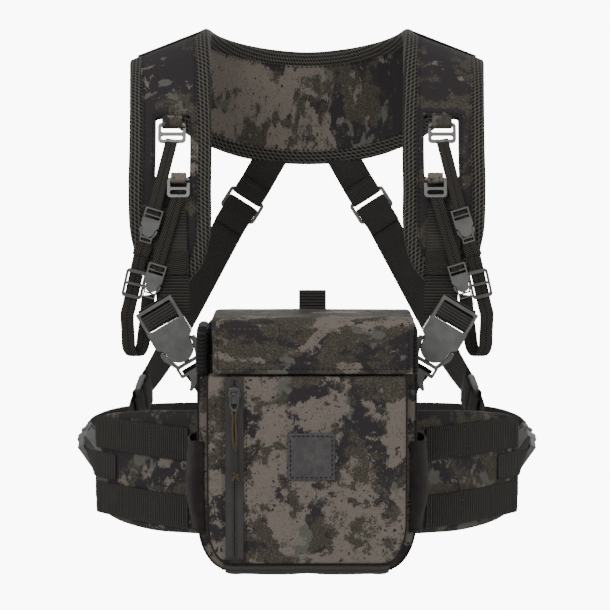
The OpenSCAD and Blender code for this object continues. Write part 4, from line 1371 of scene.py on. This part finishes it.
LOCK_HIGH, LOCK_LOW = vec(53, 103, -119), vec(130, 20, -267)
HIGH_RUN = vec(-0.5, 0.06, 0.78).normalized()
LOW_RUN = vec(-0.2, 0.86, 0.48).normalized()
HIGH_ACROSS = vec(0, 1, -0.08).cross(HIGH_RUN).normalized()
LOW_ACROSS = vec(1, 0.2, 0).cross(LOW_RUN).normalized()


# Strap ends in a lock, as (out of the frame, along the run): SEWN loops round the end bar,
# THREADED goes on over the middle bar and back out.
SEWN = ((2, 18), (3.6, 11.5), (3.2, 8.8), (2.5, 6.8), (0, 6.4), (-2.5, 6.8), (-3.2, 8.8), (-3.5, 11.5),
        (-1.9, 17), (-0.9, 21))
THREADED = ((2, 18), (3.6, 11), (3.5, 6), (3.3, 1.2), (2.2, -1.9), (0, -2.4), (-2.2, -1.9), (-3.3, 1.2),
            (-3.5, 6), (-3.5, 11), (-1.9, 17), (-0.9, 21))


def lock_end(c, x, z, s, shape):
    return [c + z.cross(x) * y + z * run * s for y, run in shape]


high_end = lock_end(LOCK_HIGH, HIGH_ACROSS, HIGH_RUN, -1, THREADED)
low_end = lock_end(LOCK_LOW, LOW_ACROSS, LOW_RUN, 1, THREADED)
upper = Track([vec(25, 102.5, -72), vec(33, 101.4, -86)]
              + lock_end(LOCK_HIGH, HIGH_ACROSS, HIGH_RUN, 1, SEWN), HIGH_ACROSS, 4)
back_pts = high_end[::-1] + [vec(76, 99, -160), vec(97, 87, -202), vec(115, 62, -238)] + low_end
back_w = [lerp(HIGH_ACROSS, LOW_ACROSS, clamp((i - len(high_end) + 1) / 4)) for i in range(len(back_pts))]
back_track = Track(back_pts, back_w, 4)
hip_end = lock_end(LOCK_LOW, LOW_ACROSS, LOW_RUN, -1, SEWN)
hip_pts = hip_end[::-1] + [vec(136.4, -24, -283), vec(132, -44, -292), vec(126, -50.4, -297)]
upright = vec(0.1, 0.1, 1 if LOW_ACROSS.z > 0 else -1)
hip_w = [lerp(LOW_ACROSS, upright, clamp((i - len(hip_end) + 1.6) / 2)) for i in range(len(hip_pts))]
hip_track = Track(hip_pts, hip_w, 4)
hardware("ladder_locks", bevel=0.6, segments=3)
for side, flip in SIDES:
    band("yoke_web_" + side, upper, 26, 1.6, nodes=("yoke_webs",), mirror=flip)
    band("back_strap_" + side, back_track, 26, 1.6, mirror=flip)
    band("hip_web_" + side, hip_track, 26, 1.6, nodes=("hip_webs",), mirror=flip)
    for name, c, x, z, s in (("high", LOCK_HIGH, HIGH_ACROSS, HIGH_RUN, 1),
                             ("low", LOCK_LOW, LOW_ACROSS, LOW_RUN, -1)):
        face = z.cross(x)
        ends = [c + x * half + z * s * 17.5 - face * 2.6 for half in (-11, 11)]
        stitches("lock_stitch_%s_%s" % (name, side), ends, -face, PALE_THREAD, size=1.5,
                 gap=1.6, radius=0.26, mirror=flip)

# ---------------------------------------------------------------- studio

def plane(name, corners, tone, glow=0.0):
    mesh = bpy.data.meshes.new(name)
    mesh.from_pydata(corners, [], [(0, 1, 2, 3)])
    material = bpy.data.materials.new(name)
    material.use_nodes = True
    shader = material.node_tree.nodes["Principled BSDF"]
    shader.inputs["Base Color"].default_value = (*tone, 1)
    shader.inputs["Roughness"].default_value = 1.0
    shader.inputs["Specular IOR Level"].default_value = 0.0
    shader.inputs["Emission Color"].default_value = (1, 1, 1, 1)
    shader.inputs["Emission Strength"].default_value = glow
    mesh.materials.append(material)
    obj = link(name, mesh)


FLOOR_Z = -1.6
plane("floor", [(-6, -6, FLOOR_Z), (6, -6, FLOOR_Z), (6, 4.5, FLOOR_Z), (-6, 4.5, FLOOR_Z)],
      (0.85, 0.85, 0.85))
plane("backdrop", [(-1, 5, -1.8), (1, 5, -1.8), (1, 5, 1.1), (-1, 5, 1.1)], (0.9, 0.9, 0.9), 9)


def light(name, where, target, size, power):
    data = bpy.data.lights.new(name, "AREA")
    data.shape = "RECTANGLE"
    data.size, data.size_y = size
    data.energy = power
    obj = link(name, data)
    obj.location = where
    obj.rotation_euler = (Vector(target) - Vector(where)).to_track_quat("-Z", "Y").to_euler()


centre = (0, 0, -0.18)
light("key", (-0.7, -1.8, 1.1), centre, (0.9, 0.9), 16)
light("fill", (1.5, -1.5, 0.2), centre, (1.4, 1.4), 5)
light("top", (0, -0.3, 1.6), centre, (1.3, 1.3), 2)
light("back", (0.6, 1.6, 0.8), centre, (1.4, 1.4), 5)

world = bpy.data.worlds.new("studio")
world.use_nodes = True
world.node_tree.nodes["Background"].inputs[0].default_value = (1, 1, 1, 1)
world.node_tree.nodes["Background"].inputs[1].default_value = 0.55
bpy.context.scene.world = world

camera_data = bpy.data.cameras.new("camera")
camera_data.lens = 144
camera_data.sensor_width = 36
camera_data.clip_end = 20
camera = link("camera", camera_data)
camera.location = (-0.0015, -1.9, -0.02613)
camera.rotation_euler = (math.radians(90 - 5), 0, 0)
bpy.context.scene.camera = camera
